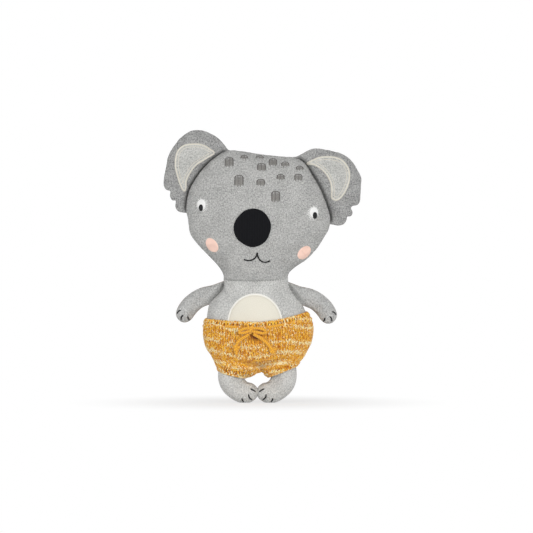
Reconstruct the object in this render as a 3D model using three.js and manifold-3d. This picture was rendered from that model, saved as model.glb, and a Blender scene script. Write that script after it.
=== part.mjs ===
// A stuffed koala of grey marl knit, in knitted mustard shorts that a drawstring ties.
// Millimetres, +Z up. The face looks along -Y. Left and right are the toy's own, so left is +X.
// The origin lies on the ground, under the middle of the toy.
// Every stuffed piece is two knitted panels sewn round an outline, with a filling between them.

import * as THREE from "three";
import { mergeVertices } from "three/addons/utils/BufferGeometryUtils.js";
import Module from "manifold-3d";

const wasm = await Module();
wasm.setup();

// Fabric and seams
const clearance = 0.3;
const skinThickness = 1.4;
const seamGap = 0.3;
const seamAllowance = 6;
const cutterOverrun = 30;

// A stuffed form's depth falls from its heart to its seam along this curve
const bulgePower = 2.4;
const pinchPower = 0.6;

// Head: a wide, shallow pillow that runs down into the neck
const neckSeamZ = 144.5;
const headHeight = 152;
const headHalfWidth = 85;
const headDepth = 38;
const headHeartShare = 0.48;
const neckNod = 10;

// Torso
const torsoBottomZ = 50;
const torsoHalfWidth = 61;
const torsoDepth = 31;
const torsoHeartShare = 0.38;

// Arms: the reach is sideways from the shoulder, the drop is down to the paw
const armReach = 56;
const armDrop = 46;
const armDepth = 10;
const shoulderX = { right: -41.5, left: 35.5 };
const shoulderZ = { right: 141, left: 139.5 };

// Legs
const hipDrop = 1.5;
const legMidX = -1.9;
const legSpread = 28.3;
const legHalfWidth = 20;
const legDepth = 14.5;

// Ears: the chord joins the two ends of the sewn edge, and the reach is square to it
const earChord = 88.7;
const earReach = { right: 59, left: 52.3 };
const earDepth = 5;
const earLean = { right: 35.3, left: 28.3 };
const earTopX = { right: -35.6, left: 42.1 };
const earTopZ = { right: 297.7, left: 289.2 };
const earPatchThickness = 1;
const earEdgeWidth = 2.4;
const earEdgeThickness = 1.8;

// Face
const noseRadius = 22;
const noseX = -7.3;
const noseZ = 206.5;
const noseThickness = 2.4;
const eyeX = { right: -68, left: 65 };
const eyeZ = { right: 233, left: 224 };
const eyeHalfWidth = 5.6;
const eyeHalfHeight = 6.8;
const pupilHalfWidth = 2.3;
const pupilHalfHeight = 3.9;
const pupilDrop = 2.4;
const cheekX = { right: -55.5, left: 53.6 };
const cheekZ = { right: 185.6, left: 176.6 };
const cheekHalfWidth = 7.2;
const cheekHalfLength = 8.6;
const cheekTilt = 50;
const mouthX = -2;
const mouthTopZ = 176.8;
const mouthHalfWidth = 15.6;
const mouthDrop = 10;
const threadWidth = 1.5;
const stitchThickness = 0.8;

// Belly patch
const bellyX = -4.7;
const bellyZ = 93.5;
const bellyHalfWidth = 32;
const bellyHalfHeight = 35;
const bellyEdgeWidth = 1.8;

// Shorts: a knitted tube that hugs the torso, with a waistband and a cuff round each leg
const shortsThickness = 2.6;
const shortsEase = stitchThickness + 2 * clearance;
const waistZ = 104.5;
const waistLean = 4.1;
const waistPitch = 14;
const waistbandHeight = 10;
const waistbandProud = 0.4;
const cuffZ = { right: 30.5, left: 31 };
const cuffTilt = 18;
const cuffHeight = 9;

// Drawstring: it runs in a groove of the waistband and is tied in a bow at the front
const cordDiameter = 4;
const grooveDepth = 1.4;
const grooveDrop = 3;
const bowX = -9.8;
const bowZ = 86.5;
const knotHalfWidth = 3.6;
const knotHalfHeight = 3.8;
const knotDepth = 2.4;
const tailKnotRadius = 3;

const sides = { right: -1, left: 1 };
const cordSides = 8;
const hipZ = torsoBottomZ - hipDrop;
const shortsGrow = shortsEase + shortsThickness;
const worldSize = 3 * headHeight;
const toy = new THREE.Group();

function knit(color) {
  return new THREE.MeshStandardMaterial({ color, roughness: 0.95, metalness: 0 });
}

const materials = {
  greyKnit: knit(0xb9b9b6),
  paleKnit: knit(0xc9c9c4),
  darkKnit: knit(0x9a9a98),
  mustardKnit: knit(0xd59a35),
  mustardCord: knit(0xde9f33),
  creamFelt: knit(0xe9e6d9),
  blackFelt: knit(0x1c1d22),
  creamThread: knit(0xe6dfd0),
  whiteThread: knit(0xf4f4f2),
  blackThread: knit(0x1c1d20),
  pinkThread: knit(0xf0cbb8),
  fibre: knit(0xf2f1ec),
};

function solidOf(geometry) {
  const bare = geometry.clone();
  for (const name of ["normal", "uv"]) bare.deleteAttribute(name);
  const merged = mergeVertices(bare);
  const mesh = new wasm.Mesh({
    numProp: 3,
    vertProperties: merged.attributes.position.array,
    triVerts: new Uint32Array(merged.index.array),
  });
  return new wasm.Manifold(mesh);
}

function addPiece(name, solid, material) {
  const made = solid.getMesh();
  const geometry = new THREE.BufferGeometry();
  geometry.setAttribute("position", new THREE.BufferAttribute(made.vertProperties, made.numProp));
  geometry.setIndex(new THREE.BufferAttribute(made.triVerts, 1));
  const shown = geometry.toNonIndexed();
  shown.computeVertexNormals();
  const piece = new THREE.Mesh(shown, material);
  piece.name = name;
  toy.add(piece);
}

// A point of the front view, in the seam plane.
function at(x, z) {
  return new THREE.Vector3(x, 0, z);
}

// Points at even steps along a smooth closed line.
function closedLine(points, count) {
  return new THREE.CatmullRomCurve3(points, true).getSpacedPoints(count).slice(0, count);
}

function ellipse(x, z, halfWidth, halfHeight, count, tilt = 0) {
  const turn = THREE.MathUtils.degToRad(tilt);
  const curve = new THREE.EllipseCurve(x, z, halfWidth, halfHeight, 0, 2 * Math.PI, false, turn);
  return curve.getSpacedPoints(count).slice(0, count).map((point) => at(point.x, point.y));
}

// The same outline, swollen out from its heart.
function widened(outline, centre, amount) {
  return outline.map((point) => {
    const arm = point.clone().sub(centre);
    return arm.setLength(arm.length() + amount).add(centre);
  });
}

// The same anticlockwise outline, moved out square to itself.
function offset(outline, amount) {
  return outline.map((point, i) => {
    const along = outline[(i + 1) % outline.length].clone().sub(outline.at(i - 1)).normalize();
    return point.clone().add(at(along.z, -along.x).multiplyScalar(amount));
  });
}

// The outline of a thread of the given width along a smooth line.
function stroke(points, width, steps) {
  const curve = new THREE.CatmullRomCurve3(points);
  const ahead = [];
  const behind = [];
  for (let i = 0; i <= steps; i += 1) {
    const point = curve.getPoint(i / steps);
    const along = curve.getTangent(i / steps);
    const across = at(-along.z, along.x).multiplyScalar(width / 2);
    ahead.push(point.clone().add(across));
    behind.unshift(point.clone().sub(across));
  }
  return [...ahead, ...behind];
}

// A straight-sided body with the given front view, from one depth to another.
function prism(outline, fromY, toY) {
  const shape = new THREE.Shape(outline.map((point) => new THREE.Vector2(point.x, point.z)));
  const geometry = new THREE.ExtrudeGeometry(shape, { depth: toY - fromY, bevelEnabled: false });
  return solidOf(geometry.rotateX(Math.PI / 2).translate(0, toY, 0));
}

function frontPrism(outline) {
  return prism(outline, -worldSize, 0);
}

function throughPrism(outline) {
  return prism(outline, -worldSize, worldSize);
}

// The space above a plane that leans sideways and pitches forward round the given point.
function spaceAbove(x, z, lean = 0, pitch = 0) {
  const geometry = new THREE.BoxGeometry(worldSize, worldSize, worldSize);
  geometry.translate(0, 0, worldSize / 2).rotateX(THREE.MathUtils.degToRad(pitch));
  geometry.rotateY(-THREE.MathUtils.degToRad(lean)).translate(x, 0, z);
  return solidOf(geometry);
}

// A tube of round cord along a smooth line of points.
function cord(points) {
  const section = new THREE.Shape();
  section.absarc(0, 0, cordDiameter / 2, 0, 2 * Math.PI);
  const path = new THREE.CatmullRomCurve3(points);
  const steps = Math.ceil(path.getLength() / cordDiameter);
  const options = { steps, curveSegments: cordSides, extrudePath: path, bevelEnabled: false };
  return solidOf(new THREE.ExtrudeGeometry(section, options));
}

function ball(centre, halfWidth, halfDepth, halfHeight) {
  const geometry = new THREE.SphereGeometry(1, 10, 6).rotateX(Math.PI / 2);
  geometry.scale(halfWidth, halfDepth, halfHeight).translate(centre.x, centre.y, centre.z);
  return solidOf(geometry);
}

// A closed body from rings of points that run clockwise, seen along the way from ring to ring.
// A ring of one point closes an end.
function loft(rings) {
  const starts = rings.map((_, i) => rings.slice(0, i).flat().length);
  const index = [];
  for (let i = 0; i + 1 < rings.length; i += 1) {
    const [here, there] = [rings[i].length, rings[i + 1].length];
    for (let k = 0; k < Math.max(here, there); k += 1) {
      const a = starts[i] + (k % here);
      const b = starts[i] + ((k + 1) % here);
      const c = starts[i + 1] + ((k + 1) % there);
      const d = starts[i + 1] + (k % there);
      if (here > 1) index.push(a, b, c);
      if (there > 1) index.push(a, c, d);
    }
  }
  const geometry = new THREE.BufferGeometry().setFromPoints(rings.flat());
  return solidOf(geometry.setIndex(index));
}

// How far a panel stands off the seam plane, as a share of its depth.
function bulge(share) {
  return Math.pow(1 - Math.pow(share, bulgePower), pinchPower);
}

// A pillow: an outline, and rings that shrink from it to the heart. grow swells it all round.
function pillow(form, grow) {
  const outline = widened(form.outline, form.heart, grow);
  const depth = form.depth + grow;
  const ring = (share, way) =>
    outline.map((point) => form.heart.clone().lerp(point, share).setY(way * depth * bulge(share)));
  const tip = (way) => [form.heart.clone().setY(way * depth)];
  const back = form.ringShares.map((share) => ring(share, 1));
  const front = form.ringShares.map((share) => ring(share, -1));
  return loft([tip(1), ...back, outline, ...front.reverse(), tip(-1)]);
}

// A limb between two edge lines of the front view, with an oval section from each point of one to
// its fellow on the other, and a rounded tip.
function limb(form, grow) {
  const sections = form.upper.map((upper, i) => {
    const middle = upper.clone().lerp(form.lower[i], 0.5);
    const across = upper.clone().sub(middle);
    across.setLength(across.length() + grow);
    const depth = Math.max(form.depths[i] + grow, seamGap / 2);
    return Array.from({ length: form.sides }, (_, k) => {
      const angle = (2 * Math.PI * (k + 0.5)) / form.sides;
      const point = middle.clone().addScaledVector(across, Math.cos(angle));
      return point.setY(form.turn * depth * Math.sin(angle));
    });
  });
  const root = form.upper[0].clone().lerp(form.lower[0], 0.5);
  const end = form.upper.at(-1).clone().lerp(form.lower.at(-1), 0.5);
  const tip = form.tip.clone().sub(end);
  tip.setLength(tip.length() + grow).add(end);
  return loft([[root], ...sections, [tip]]);
}

// A sheet that lies on a form, from one height over its skin to another.
function layer(shapeAt, from, to) {
  return shapeAt(to).subtract(shapeAt(from));
}

// A patch or a stitch: the part of a layer on the front that lies inside an outline.
function patch(shapeAt, outline, from, thickness) {
  return layer(shapeAt, from, from + thickness).intersect(frontPrism(outline));
}

const behindSeam = prism(rectangle(worldSize), -seamGap / 2, worldSize);
const beforeSeam = prism(rectangle(worldSize), -worldSize, seamGap / 2);

function rectangle(half) {
  return [at(-half, -half), at(half, -half), at(half, half), at(-half, half)];
}

// The two panels and the filling of a stuffed form. rootAt gives what carries the form, swollen by
// an amount: the panels end just clear of it, and the filling ends at the seam allowance.
function addStuffed(name, shapeAt, rootAt, material) {
  const hollow = shapeAt(-skinThickness).subtract(rootAt(seamAllowance));
  const skin = shapeAt(0).subtract(hollow).subtract(rootAt(clearance));
  const filling = shapeAt(-skinThickness - clearance).subtract(rootAt(seamAllowance + clearance));
  addPiece(`${name}_front_panel`, skin.subtract(behindSeam), material);
  addPiece(`${name}_back_panel`, skin.subtract(beforeSeam), material);
  addPiece(`${name}_filling`, filling, materials.fibre);
}

// Outlines run anticlockwise in the front view. Head shares are of its half width and its height
// over the neck seam, and torso shares of its half width and its height up to that seam. Both run
// on past the seam and are cut there.
const headOutlineShares = [
  [0.34, -0.1], [0.395, 0], [0.405, 0.05], [0.48, 0.095], [0.645, 0.16], [0.81, 0.255], [0.9, 0.34],
  [0.975, 0.41], [0.99, 0.49], [0.935, 0.6], [0.85, 0.71], [0.74, 0.81], [0.63, 0.9], [0.5, 0.95],
  [0.29, 0.965], [0.04, 0.98], [-0.2, 1], [-0.42, 1.005], [-0.56, 0.965], [-0.71, 0.89],
  [-0.82, 0.82], [-0.945, 0.715], [-0.995, 0.63], [-1.015, 0.53], [-0.985, 0.46], [-0.95, 0.37],
  [-0.86, 0.29], [-0.71, 0.2], [-0.56, 0.11], [-0.49, 0.045], [-0.485, 0], [-0.42, -0.1],
];
const torsoOutlineShares = [
  [-0.63, 1.17], [-0.665, 0.97], [-0.69, 0.905], [-0.775, 0.833], [-0.87, 0.766], [-0.95, 0.7],
  [-0.985, 0.6], [-1, 0.5], [-1, 0.38], [-0.96, 0.24], [-0.87, 0.1], [-0.7, 0.01], [-0.3, 0],
  [0.25, 0], [0.63, 0.01], [0.82, 0.1], [0.93, 0.22], [0.975, 0.36], [0.96, 0.48], [0.915, 0.57],
  [0.87, 0.64], [0.81, 0.7], [0.68, 0.815], [0.61, 0.88], [0.565, 0.96], [0.53, 1.17],
];
const torsoHeight = neckSeamZ - torsoBottomZ;
const headForm = {
  outline: closedLine(
    headOutlineShares.map(([x, z]) => at(x * headHalfWidth, neckSeamZ + z * headHeight)), 38,
  ),
  heart: at(0, neckSeamZ + headHeartShare * headHeight),
  depth: headDepth,
  ringShares: [0.35, 0.62, 0.84, 0.96],
};
const torsoForm = {
  outline: closedLine(
    torsoOutlineShares.map(([x, z]) => at(x * torsoHalfWidth, torsoBottomZ + z * torsoHeight)), 30,
  ),
  heart: at(0, torsoBottomZ + torsoHeartShare * torsoHeight),
  depth: torsoDepth,
  ringShares: [0.5, 0.8, 0.95],
};
const headAt = (grow) => pillow(headForm, grow);
const torsoAt = (grow) => pillow(torsoForm, grow);

// The head and the torso narrow to an edge at the neck seam, so that the head can nod. Each is cut
// by the other side's space, which opens from the seam line at half the nod.
function neckSpace(way, amount) {
  const rise = Math.tan(THREE.MathUtils.degToRad(neckNod / 2));
  const half = headDepth + cutterOverrun;
  const edge = (y) => new THREE.Vector2(y, way * (amount / 2 + Math.abs(y) * rise));
  const floor = -way * half;
  const shape = new THREE.Shape([
    edge(0), edge(half), new THREE.Vector2(half, floor), new THREE.Vector2(-half, floor), edge(-half),
  ]);
  const geometry = new THREE.ExtrudeGeometry(shape, { depth: worldSize, bevelEnabled: false });
  geometry.translate(0, 0, -worldSize / 2).rotateZ(Math.PI / 2).rotateY(Math.PI / 2);
  return solidOf(geometry.translate(0, 0, neckSeamZ));
}

// Arm shares are of armReach outwards and armDrop upwards, from the shoulder.
const armUpperShares = [
  [-0.1, 0.05], [0.26, -0.07], [0.5, -0.14], [0.71, -0.28], [0.87, -0.46], [0.97, -0.65],
  [1, -0.8], [0.965, -0.91],
];
const armLowerShares = [
  [0.18, -0.47], [0.36, -0.565], [0.46, -0.62], [0.55, -0.71], [0.62, -0.81], [0.68, -0.91],
  [0.74, -0.97], [0.81, -1],
];
const armTipShare = [0.89, -0.985];
const armDepthShares = [0.06, 0.44, 0.85, 1, 1, 0.93, 0.76, 0.45];
const armClawShares = [
  [[0.9, -0.7], [0.975, -0.775]],
  [[0.85, -0.82], [0.895, -0.94]],
  [[0.755, -0.85], [0.725, -0.945]],
];

// Leg shares are of legHalfWidth outwards and the hip's height upwards, from the hip.
const legUpperShares = [
  [0.6, 0.06], [0.62, -0.05], [0.7, -0.2], [0.75, -0.36], [0.8, -0.55], [0.55, -0.74], [0.2, -0.89],
  [-0.25, -0.995], [-0.72, -1.02], [-1.08, -0.97],
];
const legLowerShares = [
  [-0.6, 0.06], [-0.58, -0.05], [-0.52, -0.2], [-0.5, -0.36], [-0.66, -0.48], [-0.85, -0.53], [-1.02, -0.56],
  [-1.16, -0.6], [-1.28, -0.66], [-1.36, -0.75],
];
const legTipShare = [-1.385, -0.87];
const legDepthShares = [0.05, 0.08, 0.42, 0.72, 0.95, 1, 1, 0.97, 0.85, 0.55];
const legClawShares = [
  [[-1, -0.66], [-1.31, -0.735]],
  [[-0.89, -0.8], [-1.1, -0.92]],
  [[-0.51, -0.885], [-0.6, -0.955]],
];

function armPlace(side) {
  return ([x, z]) => at(shoulderX[side] + sides[side] * x * armReach, shoulderZ[side] + z * armDrop);
}

function legPlace(side) {
  const hipX = legMidX + sides[side] * legSpread;
  return ([x, z]) => at(hipX + sides[side] * x * legHalfWidth, hipZ + z * hipZ);
}

function limbForm(side, place, upperShares, lowerShares, tipShare, depthShares, depth) {
  return {
    upper: upperShares.map(place),
    lower: lowerShares.map(place),
    tip: place(tipShare),
    depths: depthShares.map((share) => share * depth),
    turn: -sides[side],
    sides: 10,
  };
}

function addClaws(name, shapeAt, place, clawShares) {
  clawShares.forEach((ends, i) => {
    const outline = stroke(ends.map(place), threadWidth, 1);
    const claw = patch(shapeAt, outline, clearance, stitchThickness);
    addPiece(`${name}_claw_${i + 1}`, claw, materials.blackThread);
  });
}

function torsoSide(amount) {
  return throughPrism(widened(torsoForm.outline, torsoForm.heart, amount));
}

function addArm(side) {
  const place = armPlace(side);
  const form = limbForm(
    side, place, armUpperShares, armLowerShares, armTipShare, armDepthShares, armDepth,
  );
  const shapeAt = (grow) => limb(form, grow);
  addStuffed(`arm_${side}`, shapeAt, torsoSide, materials.greyKnit);
  addClaws(`arm_${side}`, shapeAt, place, armClawShares);
}

function addLeg(side) {
  const place = legPlace(side);
  const form = limbForm(
    side, place, legUpperShares, legLowerShares, legTipShare, legDepthShares, legDepth,
  );
  const ground = throughPrism(rectangle(worldSize).map((point) => point.setZ(Math.min(point.z, 0))));
  const standing = (grow) => limb(form, grow);
  const carrier = (amount) => torsoSide(amount).add(ground);
  addStuffed(`leg_${side}`, standing, carrier, materials.greyKnit);
  addClaws(`leg_${side}`, standing, place, legClawShares);
  addCuff(side, standing);
}

// A band of the cloth that lies on a form, between two heights of a slanting plane.
function bandPiece(shapeAt, from, to, spaceAt, low, high) {
  return layer(shapeAt, from, to).intersect(spaceAt(low)).subtract(spaceAt(high));
}

function cuffSpace(side) {
  const hipX = legMidX + sides[side] * legSpread;
  return (height) => spaceAbove(hipX, cuffZ[side] + height, sides[side] * cuffTilt);
}

function addCuff(side, shapeAt) {
  const cuff = bandPiece(
    shapeAt, clearance, clearance + shortsThickness, cuffSpace(side), 0, cuffHeight,
  );
  addPiece(`cuff_${side}`, cuff, materials.mustardKnit);
}

// Ear shares are of the chord, downwards along the sewn edge, and of the reach, outwards.
const earOutlineShares = {
  right: [
    [0, -0.03], [-0.03, 0.19], [-0.04, 0.37], [-0.02, 0.58], [0.06, 0.83], [0.18, 0.96], [0.38, 1],
    [0.56, 0.95], [0.72, 0.82], [0.86, 0.69], [0.905, 0.54], [0.96, 0.38], [1.02, 0.19],
    [1.01, 0.03], [0.93, 0.04], [0.82, 0.11], [0.7, 0.165], [0.59, 0.19], [0.46, 0.18],
    [0.32, 0.15], [0.18, 0.105], [0.08, 0.045],
  ],
  left: [
    [0, -0.05], [0, 0.19], [0.02, 0.44], [0.14, 0.69], [0.28, 0.91], [0.45, 1], [0.62, 1],
    [0.78, 0.9], [0.92, 0.75], [0.95, 0.58], [1.02, 0.44], [1.07, 0.27], [1.05, 0.08],
    [0.99, 0], [0.88, 0.083], [0.75, 0.123], [0.6, 0.153], [0.48, 0.163], [0.32, 0.15],
    [0.15, 0.118],
  ],
};
const earHeartShare = [0.5, 0.55];
const earPatchShares = {
  right: [
    [0.14, 0.22], [0.13, 0.4], [0.21, 0.69], [0.34, 0.86], [0.49, 0.82], [0.65, 0.61],
    [0.74, 0.4], [0.77, 0.27], [0.64, 0.38], [0.45, 0.4], [0.28, 0.32],
  ],
  left: [
    [0.2, 0.26], [0.16, 0.38], [0.2, 0.62], [0.32, 0.84], [0.47, 0.87], [0.62, 0.75],
    [0.73, 0.53], [0.77, 0.42], [0.71, 0.34], [0.6, 0.4], [0.42, 0.43], [0.27, 0.36],
  ],
};

function earPlace(side) {
  const lean = THREE.MathUtils.degToRad(earLean[side]);
  const down = at(sides[side] * Math.sin(lean), -Math.cos(lean));
  const out = at(sides[side] * Math.cos(lean), Math.sin(lean));
  return ([along, away]) =>
    at(earTopX[side], earTopZ[side])
      .addScaledVector(down, along * earChord)
      .addScaledVector(out, away * earReach[side]);
}

// A line of an ear's table. The tables run anticlockwise on the right ear only.
function earLine(side, shares, count) {
  const points = shares.map(earPlace(side));
  return closedLine(side === "right" ? points : points.reverse(), count);
}

function addEar(side) {
  const form = {
    outline: earLine(side, earOutlineShares[side], 24),
    heart: earPlace(side)(earHeartShare),
    depth: earDepth,
    ringShares: [0.6, 0.9],
  };
  const shapeAt = (grow) => pillow(form, grow);
  const headSide = (amount) => throughPrism(widened(headForm.outline, headForm.heart, amount));
  addStuffed(`ear_${side}`, shapeAt, headSide, materials.darkKnit);

  const lining = earLine(side, earPatchShares[side], 24);
  const inner = offset(lining, clearance);
  const outer = offset(lining, clearance + earEdgeWidth);
  const edging = patch(shapeAt, outer, clearance, earEdgeThickness).subtract(frontPrism(inner));
  const cloth = patch(shapeAt, lining, clearance, earPatchThickness);
  addPiece(`ear_lining_${side}`, cloth, materials.paleKnit);
  addPiece(`ear_edging_${side}`, edging, materials.creamThread);
}

// The mouth is a hook on each side of its top. Shares are of its half width and its drop.
const mouthHookShares = [
  [[-1, -0.8], [-0.72, -1], [-0.36, -0.87], [-0.1, -0.5], [0, 0]],
  [[0, 0], [0.04, -0.42], [0.22, -0.9], [0.56, -1.14], [0.97, -0.98]],
];

function addFace() {
  const stitched = (outline) => patch(headAt, outline, clearance, stitchThickness);
  const nose = ellipse(noseX, noseZ, noseRadius, noseRadius, 24);
  addPiece("nose_patch", patch(headAt, nose, clearance, noseThickness), materials.blackFelt);
  for (const side of Object.keys(sides)) {
    const eye = ellipse(eyeX[side], eyeZ[side], eyeHalfWidth, eyeHalfHeight, 16);
    addPiece(`eye_white_${side}`, stitched(eye), materials.whiteThread);
    const pupil = ellipse(
      eyeX[side], eyeZ[side] - pupilDrop, pupilHalfWidth, pupilHalfHeight, 12,
    );
    const overEye = 2 * clearance + stitchThickness;
    const raised = patch(headAt, pupil, overEye, stitchThickness);
    addPiece(`pupil_${side}`, raised, materials.blackThread);
    const cheek = ellipse(
      cheekX[side], cheekZ[side], cheekHalfLength, cheekHalfWidth, 16, sides[side] * cheekTilt,
    );
    addPiece(`cheek_${side}`, stitched(cheek), materials.pinkThread);
  }
  const hooks = mouthHookShares.map((shares) => {
    const points = shares.map(([x, z]) => at(mouthX + x * mouthHalfWidth, mouthTopZ + z * mouthDrop));
    return frontPrism(stroke(points, threadWidth, 6));
  });
  const mouth = layer(headAt, clearance, clearance + stitchThickness).intersect(
    hooks[0].add(hooks[1]),
  );
  addPiece("mouth_stitch", mouth, materials.blackThread);
}

function addBelly() {
  const outline = ellipse(bellyX, bellyZ, bellyHalfWidth, bellyHalfHeight, 26);
  const cloth = offset(outline, -bellyEdgeWidth - clearance);
  const inner = offset(outline, -bellyEdgeWidth);
  const edging = patch(torsoAt, outline, clearance, stitchThickness).subtract(frontPrism(inner));
  const belly = patch(torsoAt, cloth, clearance, stitchThickness);
  addPiece("belly_patch", belly, materials.creamFelt);
  addPiece("belly_edging", edging, materials.whiteThread);
}

// Below the waist the shorts leave the torso's outline. Shares are of the torso's half width with
// the shorts on, and of the torso's height.
const shortsLowerShares = [
  [-1.01, 0.3], [-1, 0.22], [-0.945, 0.13], [-0.88, 0.05], [-0.81, -0.03], [-0.775, -0.11],
  [-0.73, -0.17], [-0.55, -0.215], [-0.32, -0.24], [-0.25, -0.2], [-0.1, -0.145], [0.05, -0.13],
  [0.14, -0.17], [0.19, -0.215], [0.45, -0.18], [0.7, -0.1], [0.75, -0.03], [0.83, 0.05],
  [0.91, 0.13], [0.955, 0.22], [0.985, 0.31],
];
const shortsSplitShare = 0.38;

function shortsOutline() {
  const hugging = widened(torsoForm.outline, torsoForm.heart, shortsGrow);
  const splitZ = torsoBottomZ + shortsSplitShare * torsoHeight;
  const width = torsoHalfWidth + shortsGrow;
  const lower = shortsLowerShares.map(([x, z]) => at(x * width, torsoBottomZ + z * torsoHeight));
  const start = hugging.findIndex((point) => point.z < splitZ);
  const onward = hugging.slice(start).filter((point) => point.z >= splitZ);
  return closedLine([...hugging.slice(0, start), ...lower, ...onward], 44);
}

const shortsForm = {
  outline: shortsOutline(),
  heart: torsoForm.heart,
  depth: torsoDepth + shortsGrow,
  ringShares: torsoForm.ringShares,
};
const shortsAt = (grow) => pillow(shortsForm, grow);
const waistSpace = (height) => spaceAbove(0, waistZ + height, waistLean, waistPitch);

function addShorts() {
  const legSpace = (side) => {
    const half = worldSize / 2;
    const sideOnly = prism(
      rectangle(half).map((point) => point.setX(legMidX + sides[side] * (half + point.x))),
      -worldSize, worldSize,
    );
    return sideOnly.subtract(cuffSpace(side)(cuffHeight + clearance));
  };
  const cloth = layer(shortsAt, -shortsThickness, 0)
    .subtract(waistSpace(-waistbandHeight - clearance))
    .subtract(legSpace("right"))
    .subtract(legSpace("left"));
  addPiece("shorts_seat", cloth, materials.mustardKnit);

  const floor = waistbandProud - grooveDepth;
  const grooveTop = -grooveDrop;
  const grooveBottom = grooveTop - cordDiameter;
  const groove = bandPiece(
    shortsAt, floor, waistbandProud + clearance, waistSpace,
    grooveBottom - clearance, grooveTop + clearance,
  );
  const band = bandPiece(
    shortsAt, -shortsThickness, waistbandProud, waistSpace, -waistbandHeight, 0,
  );
  addPiece("waistband", band.subtract(groove), materials.mustardKnit);

  const ends = throughPrism(rectangle(knotHalfWidth).map((point) => point.add(at(bowX, bowZ))));
  const run = bandPiece(
    shortsAt, floor + clearance, waistbandProud + clearance, waistSpace, grooveBottom, grooveTop,
  );
  addPiece("drawstring_run", run.subtract(ends), materials.mustardCord);
}

// The bow's cord routes: loops from the knot's middle, and tails from under the knot.
const loopRoutes = {
  right: [[0, 0.6], [-5.5, 2.8], [-12, 1.8], [-14.6, -0.4], [-11.5, -2], [-5.5, -1], [0, 0]],
  left: [[0, 0.6], [6, 3], [13, 3.2], [17.2, 1.2], [15, -1.2], [7, -0.6], [0, 0]],
};
const tailRoutes = {
  right: [
    [-11.6, -37.9, 82], [-14.2, -37.8, 79.8], [-17.5, -37.6, 77.8], [-21, -37.2, 75.6],
    [-24, -36.8, 72.8], [-25.9, -36.5, 69.2], [-26.6, -36.1, 65], [-26.4, -35.6, 60.6],
    [-26, -35.1, 57],
  ],
  left: [
    [-7, -37.9, 82.2], [-4, -37.9, 80.6], [-0.6, -37.9, 78.7], [3.4, -37.8, 76.1],
    [7, -37.7, 73.2], [10.2, -37.5, 69.9], [13, -37.2, 66.4], [15.8, -36.8, 62.8],
    [18.4, -36.2, 59.2],
  ],
};
const tailKnotStep = { right: 6, left: 7 };

function addDrawstring() {
  const knotY = -(shortsForm.depth + waistbandProud + 2 * clearance + knotDepth);
  const loopY = -(shortsForm.depth + waistbandProud + 2 * clearance + cordDiameter / 2);
  let bow = ball(new THREE.Vector3(bowX, knotY, bowZ), knotHalfWidth, knotDepth, knotHalfHeight);
  for (const route of Object.values(loopRoutes)) {
    const points = route.map(([x, z]) => new THREE.Vector3(bowX + x, loopY, bowZ + z));
    const turn = Math.floor(points.length / 2);
    bow = bow.add(cord(points.slice(0, turn + 1))).add(cord(points.slice(turn)));
  }
  addPiece("drawstring_bow", bow, materials.mustardCord);
  for (const side of Object.keys(sides)) {
    const points = tailRoutes[side].map((point) => new THREE.Vector3(...point));
    const knot = points[tailKnotStep[side]];
    const tail = cord(points).add(ball(knot, tailKnotRadius, tailKnotRadius, tailKnotRadius));
    addPiece(`drawstring_tail_${side}`, tail, materials.mustardCord);
  }
}

addStuffed("head", headAt, (amount) => neckSpace(1, amount), materials.greyKnit);
addStuffed("torso", torsoAt, (amount) => neckSpace(-1, amount), materials.greyKnit);
for (const side of Object.keys(sides)) {
  addArm(side);
  addLeg(side);
  addEar(side);
}
addFace();
addBelly();
addShorts();
addDrawstring();

export default toy;
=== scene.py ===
# A stuffed koala of grey marl knit in knitted mustard shorts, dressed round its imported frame.
# Metres, +Z up. The face looks along -Y, and the toy's own left is +X.

import math
from collections import namedtuple

import bpy
import numpy as np
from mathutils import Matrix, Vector, noise
from mathutils.bvhtree import BVHTree
from mathutils.geometry import delaunay_2d_cdt


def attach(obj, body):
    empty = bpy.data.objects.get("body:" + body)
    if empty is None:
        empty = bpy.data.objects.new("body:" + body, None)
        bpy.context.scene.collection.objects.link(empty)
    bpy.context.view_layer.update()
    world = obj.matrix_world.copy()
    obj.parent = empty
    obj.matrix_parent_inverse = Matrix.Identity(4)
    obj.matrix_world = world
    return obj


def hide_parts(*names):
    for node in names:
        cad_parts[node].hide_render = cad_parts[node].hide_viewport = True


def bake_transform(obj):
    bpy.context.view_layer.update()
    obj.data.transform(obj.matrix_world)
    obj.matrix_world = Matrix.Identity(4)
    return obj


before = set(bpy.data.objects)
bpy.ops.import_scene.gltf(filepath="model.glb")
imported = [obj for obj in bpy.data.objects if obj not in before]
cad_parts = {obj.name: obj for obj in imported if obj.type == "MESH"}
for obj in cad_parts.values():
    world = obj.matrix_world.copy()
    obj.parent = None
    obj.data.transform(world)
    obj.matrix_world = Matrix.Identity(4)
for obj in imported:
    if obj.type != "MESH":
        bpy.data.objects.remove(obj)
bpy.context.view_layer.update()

MM = 0.001
SIDES = {"right": -1, "left": 1}

# What the photo's square frame spans at the toy, and its middle
VIEW_SPAN = 629 * MM
VIEW_X = 8.85 * MM
VIEW_Z = 160.5 * MM
LENS_MM = 200
SENSOR_MM = 36

# Body
NECK_Z = 144.5 * MM
NECK_SAG = 2.2 * MM
NECK_GROOVE = 0.6 * MM
SEAM_END_RISE = 1.3 * MM
HEAD_HEIGHT = 152 * MM
HEAD_HALF_WIDTH = 85 * MM
HEAD_DEPTH = 37.2 * MM
TORSO_BOTTOM_Z = 50 * MM
TORSO_HEIGHT = NECK_Z - TORSO_BOTTOM_Z
TORSO_HALF_WIDTH = 61 * MM
TORSO_DEPTH = 31 * MM
TORSO_FIRST_DEPTH = 26 * MM

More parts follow.
